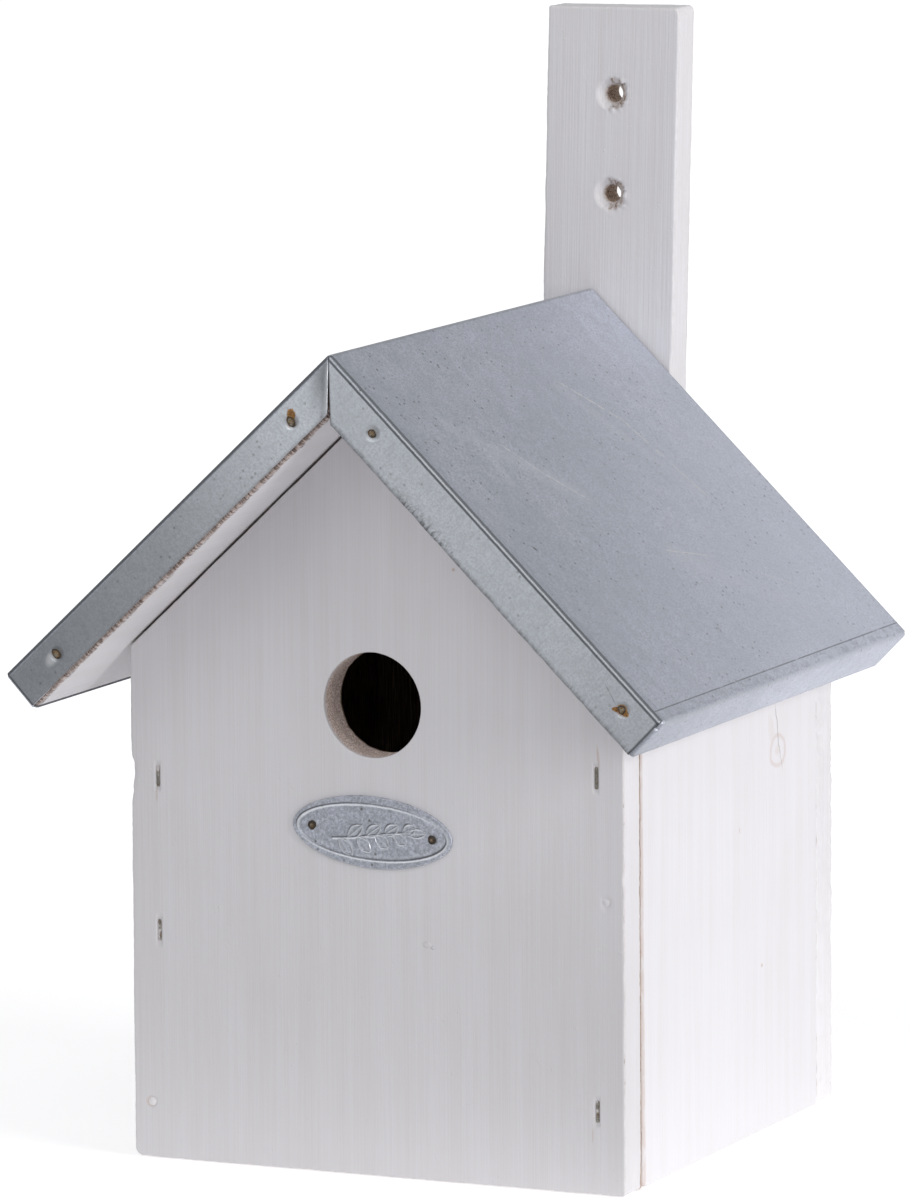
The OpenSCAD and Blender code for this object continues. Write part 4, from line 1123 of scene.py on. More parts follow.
def build_back_board(step, ragged):
    """The back: a gable outline with rough edges, and slots for its eight staples."""
    def top(u, w):
        return gable(-u, SEAT, SEAT)

    half = WIDTH / 2
    u_focus = [(half + side * PIN_X, 1.5, 0.33) for side in SIDES]
    u_focus += [(half + x + end, 1.2, 0.5) for x in BASE_STAPLES for end in STAPLE_ENDS]
    v_focus = [(BASE_STAPLE_HEIGHT, 1.5, 0.33)]
    board = Board(even(-half), even(half), top, BOARD, arris=0.45,
                  corners=(1.2, 1.2, 0.6, 0.6), step=step * 1.15, rise=1.35,
                  u_focus=u_focus, v_focus=v_focus)

    def change(local):
        for side in SIDES:
            for z in back_staple_heights(side):
                staple_slot(local, -side * PIN_X, z)
        for x in BASE_STAPLES:
            staple_slot(local, x, BASE_STAPLE_HEIGHT, level=True)
        sagging(local, 23, 0.10)
        edge_wear(local, board, ragged * 2.2, 41, 3.0)
        for z, reach, deep in ((117.5, 1.4, 0.9), (113.0, 2.2, 0.6), (121.6, 1.0, 0.5),
                               (58.0, 3.0, 0.5), (31.0, 2.2, 0.45), (140.0, 2.0, 0.5)):
            dent(local, -half, z, 9.5, (1.6, reach, 3.2), (deep, 0, 0))
            dent(local, half, z * 0.9 + 4, 9.5, (1.6, reach, 3.2), (-deep, 0, 0))

    def worn(plan):
        u, v, w = plan.T
        inside = bare_back(w) * smooth((half - 0.3 - np.abs(u)) / 0.5)
        joint = 0.40 * smooth((w - BOARD + 0.7) / 0.5) * np.clip(0.75 + noise(43, v / 5), 0.35, 1) \
            * near_edges(plan, board, 0.8)
        rim = 0.27 * near_edges(plan, board, 0.8) * smooth((BOARD - 3 - w) / 2)
        return np.max([inside * 0.95, under_roof(top(u, w) - v, w) * 0.85, worn_foot(v) * 0.3,
                       joint, rim], axis=0)

    material = painted_wood("paint_back", 31.0, 1.1)
    place = ((0, BACK_Y, 0), (-1, 0, 0), (0, 0, 1), (0, -1, 0))
    return board_piece("back", board, place, material, change, worn, "back_board")


def build_side_board(side, step, ragged):
    """A side: bevelled under the roof, with its front end sawn slightly out of square. On the
    right side a knot with a short crack shows through the paint."""
    outer = side_height(side)
    inner = outer + BOARD * math.tan(PITCH[side])
    base = side * (FRONT_Y + BOARD + JOINT_BASE)
    back = side * (BACK_Y - BOARD - BACK_JOINT)

    def front(v):
        return base - side * (JOINT_BASE - JOINT_TOP) * v / inner

    left, right = (front, even(back)) if side == RIGHT else (even(back), front)

    def top(u, w):
        return outer + np.clip(w, 0, BOARD) * math.tan(PITCH[side]) + 0 * u

    u_focus, v_focus = [], []
    if side == LEFT:
        u_focus = [(-back + y + end, 1.2, 0.5) for y in BASE_STAPLES for end in STAPLE_ENDS]
        v_focus = [(BASE_STAPLE_HEIGHT, 1.5, 0.33)]
    board = Board(left, right, top, BOARD, arris=0.45, corners=(0.9,) * 4, step=step * 1.1,
                  u_focus=u_focus, v_focus=v_focus)

    def change(local):
        plan = local.copy()
        if side == LEFT:
            for y in BASE_STAPLES:
                staple_slot(local, y, BASE_STAPLE_HEIGHT, level=True)
        sagging(local, 57 + side, 0.10)
        edge_wear(local, board, ragged, 71 + side, 5.0)
        u, v, w = plan.T
        away = side * (u - front(v))
        gap = lerp(JOINT_BASE, JOINT_TOP, v / inner)
        near_face = smooth((w - 0.1) / 0.45) * smooth((2.8 - w) / 1.0)
        bead = near_face * beyond(away, 0.7) * (0.76 + 0.10 * noise(81, v / 3.0))
        local[:, 0] -= side * gap * bead
        away = side * (back - u)
        bead = near_face * beyond(away, 0.5)
        local[:, 0] += side * 0.8 * BACK_JOINT * bead
        if side == RIGHT:
            away = np.hypot((local[:, 0] - KNOT[0]) / KNOT_SIZE[0],
                            (local[:, 1] - KNOT[1]) / KNOT_SIZE[1])
            local[:, 2] += (0.16 - 0.16 * bump(away - 0.9, 0.35)) * smooth((1.6 - away) / 0.6) \
                * beyond(local[:, 2], 1.0)
            dent(local, base, 1.0, 4, (1.4, 4.5, 4), (0.7, 0.4, 0))

    def worn(plan):
        u, v, w = plan.T
        roof_edge = under_roof(top(u, w) - v, w, 0.9, 0.6)
        gap = (u - left(v)) if side == RIGHT else (right(v) - u)
        joint = smooth((0.42 - gap) / 0.35) * smooth((w - 0.15) / 0.5)
        rim = near_edges(plan, board, 0.8) * np.where(np.abs(u - back) < 2, 0.08, 0.30)
        return np.max([bare_back(w) * 0.95, roof_edge * 0.85, joint * 0.38, worn_foot(v) * 0.3,
                       rim], axis=0)

    def marks(s, x, y, z):
        face = s.remap(z, 1.5, 0.8)
        wobble = s.times(s.minus(s.noise(s.join(x, y), (0.12, 0.12, 1), 2, 0.5), 0.5), 5.0)
        wx = s.plus(x, wobble)
        away = s.away(s.times(s.minus(wx, KNOT[0]), 1 / KNOT_SIZE[0]),
                      s.times(s.minus(y, KNOT[1]), 1 / KNOT_SIZE[1]))
        ring = s.stripe(away, 0.95, 0.20, 0.05)
        heart = s.remap(away, 0.42, 0.15)
        stain = s.most(s.times(ring, 0.50), s.times(heart, 0.35),
                       s.times(s.spot(x, y, (33.0, 124.0), (3.0, 7.0), 0.35), 0.25),
                       s.spot(x, y, (24.8, 52.0), (1.0, 0.8)),
                       s.times(s.spot(x, y, (7.0, 97.0), (0.7, 1.2)), 0.6))
        crack = s.most(s.line(wx, y, (36.6, 131.0), (39.6, 118.0), 0.35),
                       s.times(s.line(wx, y, (39.6, 118.0), (41.0, 111.0), 0.3), 0.6))
        crack = s.times(crack, 0.6)
        gap = s.minus(x, s.minus(base, s.times(y, (JOINT_BASE - JOINT_TOP) / inner)))
        seam = s.times(s.remap(gap, 0.8, 0.15),
                       s.remap(s.noise(s.join(x, y), (0.3, 0.12, 1), 2, 0.6, offset=(4, 0, 0)),
                               0.36, 0.56, 0.2, 0.65))
        stain = s.most(stain, seam)
        return s.times(stain, face), s.times(crack, face), None

    def tone(s, x, y, z):
        """Painted shade: the paint is darkened towards the base, to offset the light that the floor
        throws up onto the sides.
        """
        return s.remap(y, 0.0, 115.0, 0.93, 1.01)

    name = SIDE_NAMES[side]
    material = painted_wood("paint_" + name, 55.0 + 9 * side, 0.65,
                            marks if side == RIGHT else None, tone)
    place = ((side * WIDTH / 2, 0, 0), (0, side, 0), (0, 0, 1), (-side, 0, 0))
    return board_piece(name + "_side", board, place, material, change, worn,
                       name + "_side_board")


def build_floor_board(step):
    """The floor: unpainted, with its grain across the box."""
    half = WIDTH / 2 - BOARD - FLOOR_JOINT
    long = DEPTH / 2 - BOARD - FLOOR_JOINT
    board = Board(even(-long), even(long), even(half), FLOOR, bottom=-half, arris=0.5,
                  step=step * 1.8)

    def change(local):
        sagging(local, 91, 0.12)
        edge_wear(local, board, 0.2, 95, 5.0)

    place = ((0, 0, 0), (0, 1, 0), (1, 0, 0), (0, 0, 1))
    return board_piece("floor", board, place, bare_wood(), change,
                       lambda plan: np.ones(len(plan)), "floor_board")


def build_roof_board(side, step, ragged):
    """A roof board with its grain from front to back. Its end grain at the front is bare and
    torn, and on the left it shows below the sheet's flange."""
    start = 0.3 if side == LEFT else -12.2
    end = EAVE_RUN[side] - 0.9
    bottom = BOARD_FRONT if side == RIGHT else -BOARD_BACK
    top_end = BOARD_BACK if side == RIGHT else -BOARD_FRONT
    board = Board(even(start), even(end), even(top_end), ROOF_BOARD, bottom=bottom, arris=0.5,
                  corners=(0.5,) * 4, step=step * 1.25, fine=0.4)

    def front_distance(v):
        return v - bottom if side == RIGHT else top_end - v

    def change(local):
        u, w = local[:, 0], local[:, 2]
        edge_wear(local, board, 0.12, 111 + side, 5.0)
        near = beyond(front_distance(local[:, 1]), 1.1)
        low = smooth((local[:, 2] - ROOF_BOARD + 3.0) / 2.6)
        tear = 0.5 + 0.5 * noise(131, u / 2.6, w / 1.6) + 0.5 * noise(132, u / 0.9, w / 0.8)
        chips = np.clip(noise(133, u / 5.5) * 1.6, 0, 1)
        local[:, 1] += side * near * low * (0.12 + 0.38 * np.clip(tear, 0, 1.5)) * ragged / 0.2
        local[:, 2] -= near * low * chips * 0.35 * ragged / 0.2

    def worn(plan):
        u, v, w = plan.T
        covered = smooth((1.0 - w) / 0.6)
        away = front_distance(v)
        across = np.abs(u - start)
        in_box = smooth((WIDTH / 2 / math.cos(PITCH[side]) - 2 - across) / 1.0) \
            * smooth((away - (FRONT_Y - BOARD_FRONT) - BOARD + 1) / 1.0)
        inside = smooth((w - ROOF_BOARD + 0.8) / 0.5) * in_box
        end_grain = smooth((0.45 - away) / 0.35)
        patchy = 0.5 + 0.5 * noise(141, u / 4.0, v / 2.0)
        lip = smooth((1.6 - away) / 1.5) * smooth((w - ROOF_BOARD + 2) / 1.0)
        return np.max([covered * 0.9, inside * 0.9, end_grain * 0.42,
                       lip * (0.17 + 0.20 * patchy)], axis=0)

    def marks(s, x, y, z):
        away = s.minus(y, bottom) if side == RIGHT else s.minus(top_end, y)
        reach = s.plus(s.times(s.noise(s.join(x, 3.0), (0.11, 1, 1), 3, 0.6), 9.0), -1.6)
        fade = s.remap(s.minus(reach, away), -0.6, 1.6)
        fibres = s.noise(s.join(x, y), (1.9, 0.30, 1), 3, 0.7, 0.6)
        patch = s.remap(s.noise(s.join(x, 9.0), (0.10, 1, 1), 2, 0.6), 0.40, 0.56, 0.45, 1.0)
        fibres = s.times(s.remap(fibres, 0.49, 0.54), s.times(fade, patch))
        below = s.most(s.remap(z, 10.8, 11.8), s.remap(away, 0.9, 0.3))
        # painted shade in the gap behind the flanges, on the front end near the ridge
        painted_gap_shade = s.times(s.remap(away, 3.0, 1.5), s.remap(z, 11.6, 10.6), s.remap(x, 17.0, 13.0))
        stain = s.times(s.remap(away, 3.0, 0.4), below)
        return stain, s.most(s.times(fibres, below), painted_gap_shade), None

    p = PITCH[side]
    origin_x, origin_z = slope_point(side, 0.0, ROOF_BOARD)
    down = (side * math.cos(p), 0, -math.sin(p))
    inwards = (-side * math.sin(p), 0, -math.cos(p))
    name = SIDE_NAMES[side]
    # tone: painted light and shade, the paint lighter near the ridge and darker towards the eave
    material = painted_wood("paint_roof_" + name, 77.0 + 5 * side, 0.55, marks, lambda s, x, y, z:
                            s.remap(x, 20.0, 115.0, 1.12, 0.93))
    place = ((origin_x, 0, origin_z), down, (0, side, 0), inwards)
    return board_piece(name + "_roof_wood", board, place, material, change, worn,
                       name + "_roof_board")


def build_batten(step, ragged):
    """The hanging batten: leaning, cut aslant at the top, with two countersunk holes whose rims
    are torn."""
    half = BATTEN_WIDTH / 2

    def top(u, w):
        return BATTEN_LENGTH + u * math.tan(TOP_CUT)

    bore = hole_profile(BATTEN_THICKNESS, HANGING_HOLE, 0.3, 10, SINK - HANGING_HOLE, SINK)
    holes = tuple((0.0, v, bore) for v in HANGING_HOLES)
    board = Board(even(-half), even(half), top, BATTEN_THICKNESS,
                  arris=0.7, corners=(0.9, 0.9, 1.6, 0.6), holes=holes, step=step * 1.1,
                  u_focus=[(half, 8.0, 0.5)], v_focus=[(v, 8.0, 0.5) for v in HANGING_HOLES])

    def torn_side(du, dv):
        """0 at a hole's left side, which stayed clean, and 1 over, under and right of it."""
        return smooth((du + 0.35 * np.abs(dv) + 0.6) / 1.8)

    def change(local):
        sagging(local, 151, 0.10)
        edge_wear(local, board, ragged * 1.1, 161, 6.0)
        dent(local, half, BATTEN_LENGTH, 6, (1.6, 1.4, 7), (-0.5, -0.4, 0))
        dent(local, half, 205.0, 0, (0.9, 3.0, 2), (-0.35, 0, 0.1))
        for count, v_hole in enumerate(HANGING_HOLES):
            du, dv = local[:, 0], local[:, 1] - v_hole
            radius = np.maximum(np.hypot(du, dv), 0.1)
            turn = np.arctan2(dv, du)
            torn = 0.2 + noise(171 + count, turn * 2.2) + 0.5 * noise(173, turn * 7)
            torn = np.clip(torn, 0, 1.4)
            near = beyond(local[:, 2], 2.6) * bump(radius - 4.6, 1.6)
            near = near * torn_side(du, dv)
            splinter = np.clip(noise(177 + count, turn * 6, radius / 1.8), 0, 1)
            push = near * (torn * 0.55 - splinter * 1.3) / radius
            local[:, 2] += near * (torn * 0.18 - splinter * 0.75)
            local[:, 0] += du * push
            local[:, 1] += dv * push
            wall = beyond(radius - HANGING_HOLE, 0.6) \
                * smooth((local[:, 2] - 2.3) / 0.8)
            fuzz = 0.12 * np.maximum(0.3 + noise(175 + count, turn * 6, local[:, 2] * 0.7), 0)
            local[:, 0] += du * wall * fuzz / radius
            local[:, 1] += dv * wall * fuzz / radius

    def worn(plan):
        u, v, w = plan.T
        total = 0.30 * near_edges(plan, board, 0.8)
        total = np.maximum(total, 0.55 * worn_foot(v))
        for v_hole in HANGING_HOLES:
            radius = np.hypot(u, v - v_hole)
            total = np.maximum(total, 0.20 * smooth((3.7 - radius) / 0.4) * smooth((w - 1.3) / 0.8))
            total = np.maximum(total, (0.02 + 0.46 * torn_side(u, v - v_hole))
                               * smooth((6.0 - radius) / 1.6) * smooth((2.6 - w) / 0.6))
        return total

    up = np.array([math.sin(BATTEN_LEAN), 0, math.cos(BATTEN_LEAN)])
    origin = np.array([0, BACK_Y, BATTEN_FOOT + FIRST_SCREW]) - FIRST_SCREW * up
    material = painted_wood("paint_batten", 101.0, 1.35, bores=[
        ((0.0, v_hole), HANGING_HOLE, 1.4, (0.26, 0.18, 0.13), (0.84, 0.68, 0.56))
        for v_hole in HANGING_HOLES])
    place = (origin, (math.cos(BATTEN_LEAN), 0, -math.sin(BATTEN_LEAN)), up, (0, 1, 0))
    return board_piece("batten", board, place, material, change, worn, "hanging_batten")


# Folded roof sheet


def flange_nail_places():
    """Distances from the ridge of the two front nails on each side."""
    return {LEFT: (23.1, SLOPE - 18.4), RIGHT: (26.1, SLOPE - 11.8)}


def corner_caps(shell):
    """Adds a rounded cap at each eave corner, where the front or back fold meets the eave's
    fold: an eighth of a ball, and below it a quarter of a tube that ends at the tab's first row.
    Returns its points and their places on the blank."""
    lean = np.radians(np.linspace(0, 90, 9))[:, None]
    turn = np.radians(np.linspace(0, 90, 7))[None, :]
    reach = FOLD * np.concatenate([np.sin(lean), [[1.0]]])
    points, blanks = [], []
    for side, end in itertools.product(SIDES, (-1, 1)):
        start = SHEET_FRONT + CORNER if end < 0 else SHEET_BACK - CORNER
        run = SLOPE - FOLD + reach * np.cos(turn)
        y = start + end * reach * np.sin(turn)
        depth = FLANGE[side] if end < 0 else lerp(FLANGE[side], BACK_FLANGE, smooth(turn))
        up = np.concatenate([SHEET_TOP - FOLD + FOLD * np.cos(lean) + 0 * turn,
                             SHEET_TOP - FOLD - (depth - FOLD) / 8 + 0 * turn])
        x, z = slope_point(side, RIDGE_RUN[side] + run, up)
        cap = np.stack([x, y, z], axis=-1)
        shell.grid(shell.add(cap), flip=side * end < 0)
        points.append(cap.reshape(-1, 3))
        blanks.append(np.stack([side * run, y, OFF_FRONT + 0 * y], axis=-1).reshape(-1, 3))
    return np.concatenate(points), np.concatenate(blanks)


QUARTER_TURN = math.pi / 2
RIDGE_TANGENT = RIDGE_RADIUS * math.tan((PITCH[LEFT] + PITCH[RIGHT]) / 2)
FOLD_CELLS, FLANGE_CELLS, TAB_BEND = 7, 8, 6
FOLD_TURNS = np.radians(np.linspace(0, 90, FOLD_CELLS + 1))[1:]
FLANGE_SHARES = np.linspace(0, 1, FLANGE_CELLS + 1)[1:]
PAN_ROW, FOLD_ROW, FLANGE_ROW, RIDGE_ROW = range(4)
OFF_FRONT = 50.0


def sheet_rows(step):
    """Rows of one slope from the ridge to the eave, each with its run down the slope, the turn
    of the eave's fold, the share of the eave's flange, and its kind."""
    length = SLOPE - FOLD - RIDGE_TANGENT
    runs = RIDGE_TANGENT + length * stations(length, step * 1.5, 0.5, (
        (12.0, 12.0, 0.9), (length - 5, 5.0, 0.7)))
    eave = FOLD_CELLS + FLANGE_CELLS
    run = np.concatenate([runs, np.full(eave, SLOPE - FOLD)])
    turn = np.concatenate([0 * runs, FOLD_TURNS, np.full(FLANGE_CELLS, QUARTER_TURN)])
    share = np.concatenate([0 * runs, np.zeros(FOLD_CELLS), FLANGE_SHARES])
    kind = np.concatenate([np.full(len(runs), PAN_ROW), np.full(FOLD_CELLS, FOLD_ROW),
                           np.full(FLANGE_CELLS, FLANGE_ROW)])
    return run[:, None], turn[:, None], share[:, None], kind


def sheet_columns(step):
    """Columns from the front flange's lower edge over the pan to the back flange's, each with
    its y where the fold starts, the fold's turn, the share of the flange and the fold's sign.
    The last two values are the first and the last column between the eave's corners."""
    depth = SHEET_BACK - SHEET_FRONT - 2 * CORNER
    inner = SHEET_FRONT + CORNER + depth * stations(depth, step * 1.7, 0.5)
    pan = np.concatenate([[SHEET_FRONT + FOLD], inner, [SHEET_BACK - FOLD]])
    cells = FOLD_CELLS + FLANGE_CELLS
    turn = np.concatenate([np.full(FLANGE_CELLS, QUARTER_TURN), FOLD_TURNS[::-1]])
    share = np.concatenate([FLANGE_SHARES[::-1], np.zeros(FOLD_CELLS)])
    y = np.concatenate([np.full(cells, SHEET_FRONT + FOLD), pan,
                        np.full(cells, SHEET_BACK - FOLD)])
    turn = np.concatenate([turn, 0 * pan, turn[::-1]])
    share = np.concatenate([share, 0 * pan, share[::-1]])
    sign = np.concatenate([np.full(cells, -1.0), 0 * pan, np.full(cells, 1.0)])
    return y, turn, share, sign, cells + 1, cells + len(pan) - 2


def half_sheet(side, rows, columns):
    """Points of one slope with its flanges, their places on the blank, and the fold and edge marks:
    painted highlights, painted shade beside the seam, and darker lower edges.

    A column's drop is how far its fold has turned it down from the sheet's top, and a row's drop
    likewise. At a drop the ridge's plane lies drop times the pitch's tangent down the slope, and
    the front and back flanges are sheared to end there, at an upright seam. The eave flange's
    end columns turn round a bend of radius FOLD into tabs behind the front and back flanges."""
    run, turn, share, kind = rows
    col_y, col_turn, col_share, col_sign, first, last = columns
    flange_depth = np.where(col_sign > 0, BACK_FLANGE, FLANGE[side])
    drop = (FOLD * (1 - np.cos(col_turn)) + col_share * (flange_depth - FOLD))[None, :]
    y = col_y + col_sign * FOLD * np.sin(col_turn) + 0 * run
    slit = 0.12 + 0.42 * (drop / 14) ** 2
    seam = lerp(RIDGE_TANGENT, drop * math.tan(PITCH[side]) + slit / math.cos(PITCH[side]),
                smooth(col_turn / QUARTER_TURN)[None, :])
    moved = run + (seam - RIDGE_TANGENT) * np.clip(1 - (run - RIDGE_TANGENT) / 27, 0, 1)
    up = SHEET_TOP - drop + 0 * run
    # hand work: the seam's curl, wavy flanges, nibbled lower edges and a pan that sags a little
    beside = moved - seam
    on_flange = smooth(drop / 5) * (col_sign < 0)
    y = y - (0.55 if side == LEFT else 0.12) * bump(beside, 1.2) * on_flange
    wave = noise(201 + side, moved / 19, drop / 30) + 0.4 * noise(203 + side, moved / 6)
    y = y + 0.16 * wave * smooth(drop / 12) * np.abs(col_sign) * smooth((SLOPE - moved) / 14)
    nibble = np.clip(noise(207 + side, moved / 2.2) - 0.1, 0, 1) * smooth((drop - 9) / 5)
    up = up + 0.22 * nibble
    inside = smooth(np.minimum(y - SHEET_FRONT, SHEET_BACK - y) / 12) \
        * smooth((SLOPE - run) / 14) * smooth(run / 6) * (col_sign == 0)
    up = up - 0.14 * inside * (1 + noise(211 + side, run / 46, y / 52)) / 2
    # rows of the eave fold and flange
    eave = (kind > PAN_ROW)[:, None]
    y_eave = np.clip(col_y, SHEET_FRONT + CORNER, SHEET_BACK - CORNER)[None, :] + 0 * run
    from_end = np.minimum(y_eave - SHEET_FRONT, SHEET_BACK - y_eave) - CORNER
    lip = LEFT_LIP * smooth(from_end / 2.5) * (side == LEFT)
    row_drop = FOLD * (1 - np.cos(turn)) + share * (FLANGE[side] - FOLD + lip)
    moved = np.where(eave, SLOPE - FOLD + FOLD * np.sin(turn), moved)
    y = np.where(eave, y_eave, y)
    up = np.where(eave, SHEET_TOP - row_drop, up)
    # tabs: columns past the corner
    j = np.arange(len(col_y))
    past = np.maximum(first - j, j - last)
    tab = eave & (past > 0)[None, :] & (kind == FLANGE_ROW)[:, None]
    bend = np.clip(past / TAB_BEND, 0, 1)[None, :] * QUARTER_TURN
    straight = np.clip((past - TAB_BEND) / (first - TAB_BEND), 0, 1)[None, :] * (TAB - FOLD)
    facing = np.where(j < first, -1, 1)[None, :]
    moved = np.where(tab, SLOPE - FOLD + FOLD * np.cos(bend) - straight, moved)
    y_tab = np.where(facing < 0, SHEET_FRONT + CORNER, SHEET_BACK - CORNER)
    y = np.where(tab, y_tab + facing * FOLD * np.sin(bend), y)
    tab_depth = np.where(facing > 0, lerp(FLANGE[side], BACK_FLANGE, smooth(bend)), FLANGE[side])
    up = np.where(tab, SHEET_TOP - FOLD - share * (tab_depth - FOLD), up)
    x, z = slope_point(side, RIDGE_RUN[side] + moved, up)
    # places on the blank
    flat_run = np.where(eave, SLOPE + row_drop, moved)
    flat_y = np.where(eave, y, y + col_sign[None, :] * drop)
    inwards = np.where(col_sign < 0, -FOLD * col_turn - col_share * (FLANGE[side] - FOLD),
                       np.where(col_sign > 0, OFF_FRONT, col_y - SHEET_FRONT - FOLD))[None, :]
    blank = np.stack([side * flat_run, flat_y, np.where(eave, OFF_FRONT, inwards) + 0 * x],
                     axis=-1)
    # painted highlights on the eave fold, on the left flange's curl by the seam and faintly on the
    # front tabs' bends, painted shade beside the seam, and darker lower edges of the flanges
    painted_highlight = 0.35 * bump((turn - 0.8) / 0.5, 1) * eave * (kind == FOLD_ROW)[:, None]
    # glint: painted highlight on the left flange's curl beside the seam
    glint = lerp(1.0, 0.55, smooth((drop - 2) / 8)) * bump(beside - 0.3, 0.9)
    painted_highlight = np.maximum(painted_highlight, glint * on_flange * (side == LEFT))
    bend_shine = np.where(tab & (facing < 0), bump((bend - 0.7) / 0.5, 1), 0)
    seam_painted_shade = bump(beside, 0.6) if side == RIGHT else 0.5 * bump(beside - 2.4, 1.3)
    # darker lower edges: the left eave flange's lowest part and the front and back flanges' lower
    # edges
    cut = np.where(eave, 0.95 * smooth((share - 0.8) / 0.07) * (side == LEFT) * ~tab,
                   0.6 * smooth((col_share - 0.93) / 0.07)[None, :])
    edge = np.maximum(cut, seam_painted_shade * on_flange * np.where(eave, 0, 1))
    return np.stack([x, y, z], axis=-1), blank, np.maximum(painted_highlight, 0.1 * bend_shine), edge


def ridge_rows(columns):
    """Points of the ridge's round, an arc of radius RIDGE_RADIUS between the two slopes, with
    their places on the blank and their marks, as half_sheet gives them."""
    col_y, col_turn, _, col_sign = columns[:4]
    psi = np.linspace(-PITCH[LEFT], PITCH[RIGHT], 8)[1:-1, None]
    centre = slopes_meet(SHEET_TOP - RIDGE_RADIUS, SHEET_TOP - RIDGE_RADIUS)
    y = (col_y + col_sign * FOLD * np.sin(col_turn))[None, :] + 0 * psi
    arc = np.stack(np.broadcast_arrays(centre[0] + RIDGE_RADIUS * np.sin(psi), y,
                                       centre[1] + RIDGE_RADIUS * np.cos(psi)), axis=-1)
    blank = np.stack([0 * y, y, y - SHEET_FRONT - FOLD], axis=-1)
    # the ridge's round gets an even painted highlight
    return arc, blank, np.full(y.shape, 0.30), 0 * y


def build_roof_sheet(step):
    """The sheet as one blank, mapped row by row and column by column, with a rounded cap at each
    eave corner. Rows run from the left eave flange over the ridge to the right one, and columns
    from the front flange to the back one."""
    rows, columns = sheet_rows(step), sheet_columns(step)
    left, ridge, right = (half_sheet(LEFT, rows, columns), ridge_rows(columns),
                          half_sheet(RIGHT, rows, columns))
    points, blank, fold, edge = [np.concatenate([a[::-1], b, c])
                                 for a, b, c in zip(left, ridge, right)]
    kind = rows[3]
    kinds = np.concatenate([kind[::-1], np.full(len(ridge[0]), RIDGE_ROW), kind])
    lower, upper = kinds[:-1, None], kinds[1:, None]
    first, last = columns[4:]
    cell = np.arange(points.shape[1] - 1)
    within = (cell >= first) & (cell < last)
    ridge_cell = (lower == RIDGE_ROW) | (upper == RIDGE_ROW)
    fold_cell = (lower == FOLD_ROW) | (upper == FOLD_ROW)
    shell = Shell()
    shell.grid(shell.add(points), np.where(ridge_cell | fold_cell, within[None, :], True))
    corner_points, corner_blank = corner_caps(shell)
    caps = len(corner_points)
    # fold carries the painted highlights, faint on the corner caps, and edge the painted shade and
    # darker lower edges
    item = make_object("roof_zinc", shell.all_points(), shell.faces,
                       galvanised("zinc_roof", marks=roof_marks), {
                           "blank": np.concatenate([blank.reshape(-1, 3), corner_blank]),
                           "fold": np.concatenate([fold.reshape(-1), np.full(caps, 0.05)]),
                           "edge": np.concatenate([np.clip(edge, 0, 1).reshape(-1),
                                                   np.zeros(caps)])})
    thick = item.modifiers.new("sheet thickness", "SOLIDIFY")
    thick.thickness = SHEET * MM
    thick.offset = -1
    thick.use_even_offset = True
    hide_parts("roof_sheet")
    return item


# Plaque and fasteners


def oval_reach(turn):
    """Distance from the middle to the oval's edge, where X and Y over their half sizes, each
    raised to OVAL_POWER, add up to one."""
    total = np.abs(np.cos(turn) / (PLAQUE_WIDTH / 2)) ** OVAL_POWER \
        + np.abs(np.sin(turn) / (PLAQUE_HEIGHT / 2)) ** OVAL_POWER
    return total ** (-1 / OVAL_POWER)


def twig_height(x, y):
    """Relief of a plain leafy twig: a curved stem, and pointed leaves on both sides of it, each
    with a raised outline and a midrib."""
    def stem_at(place):
        return 0.10 * place - 0.9 + 0.8 * np.sin(place / 7.5)

    total = 0.30 * bump(y - stem_at(x), 0.36) * smooth((13.5 - np.abs(x)) / 1.0)
    leaves = [(base, (1 if count % 2 else -1) * math.radians(44 - 2.0 * count),
               6.8 - 0.24 * count, 1.75) for count, base in enumerate(np.linspace(-11, 10, 8))]
    leaves.append((11.5, math.radians(6), 6.6, 1.4))
    for base, angle, long, wide in leaves:
        dx, dy = x - base, y - stem_at(base)
        along = (dx * math.cos(angle) + dy * math.sin(angle)) / long
        across = (-dx * math.sin(angle) + dy * math.cos(angle)) / wide
        body = 1 - across ** 2 / np.maximum(4 * along * (1 - along), 1e-3) ** 2
        within = smooth(along / 0.04) * smooth((1 - along) / 0.04)
        outline = bump(body - 0.12, 0.34) * within
        rib = bump(across, 0.16) * smooth(body * 3) * within
        total = np.maximum(total, np.maximum(0.32 * outline, 0.20 * rib))
        total = np.maximum(total, 0.07 * smooth(body * 2) * within)
    return total


def plaque_relief(x, y):
    """The pressed oval line, 1.6 mm from the ends and 2.6 mm from the long sides, and the twig
    inside it."""
    half_w, half_h = PLAQUE_WIDTH / 2 - 1.6, PLAQUE_HEIGHT / 2 - 2.6
    q = np.maximum(np.hypot(x / half_w, y / half_h), 0.05)
    away = (q - 1) * q / np.hypot(x / half_w ** 2, y / half_h ** 2)
    line = 0.28 * bump(away, 0.34) - 0.10 * bump(away + 0.8, 0.5)
    return line + twig_height(x, y) * smooth(-away / 0.8)


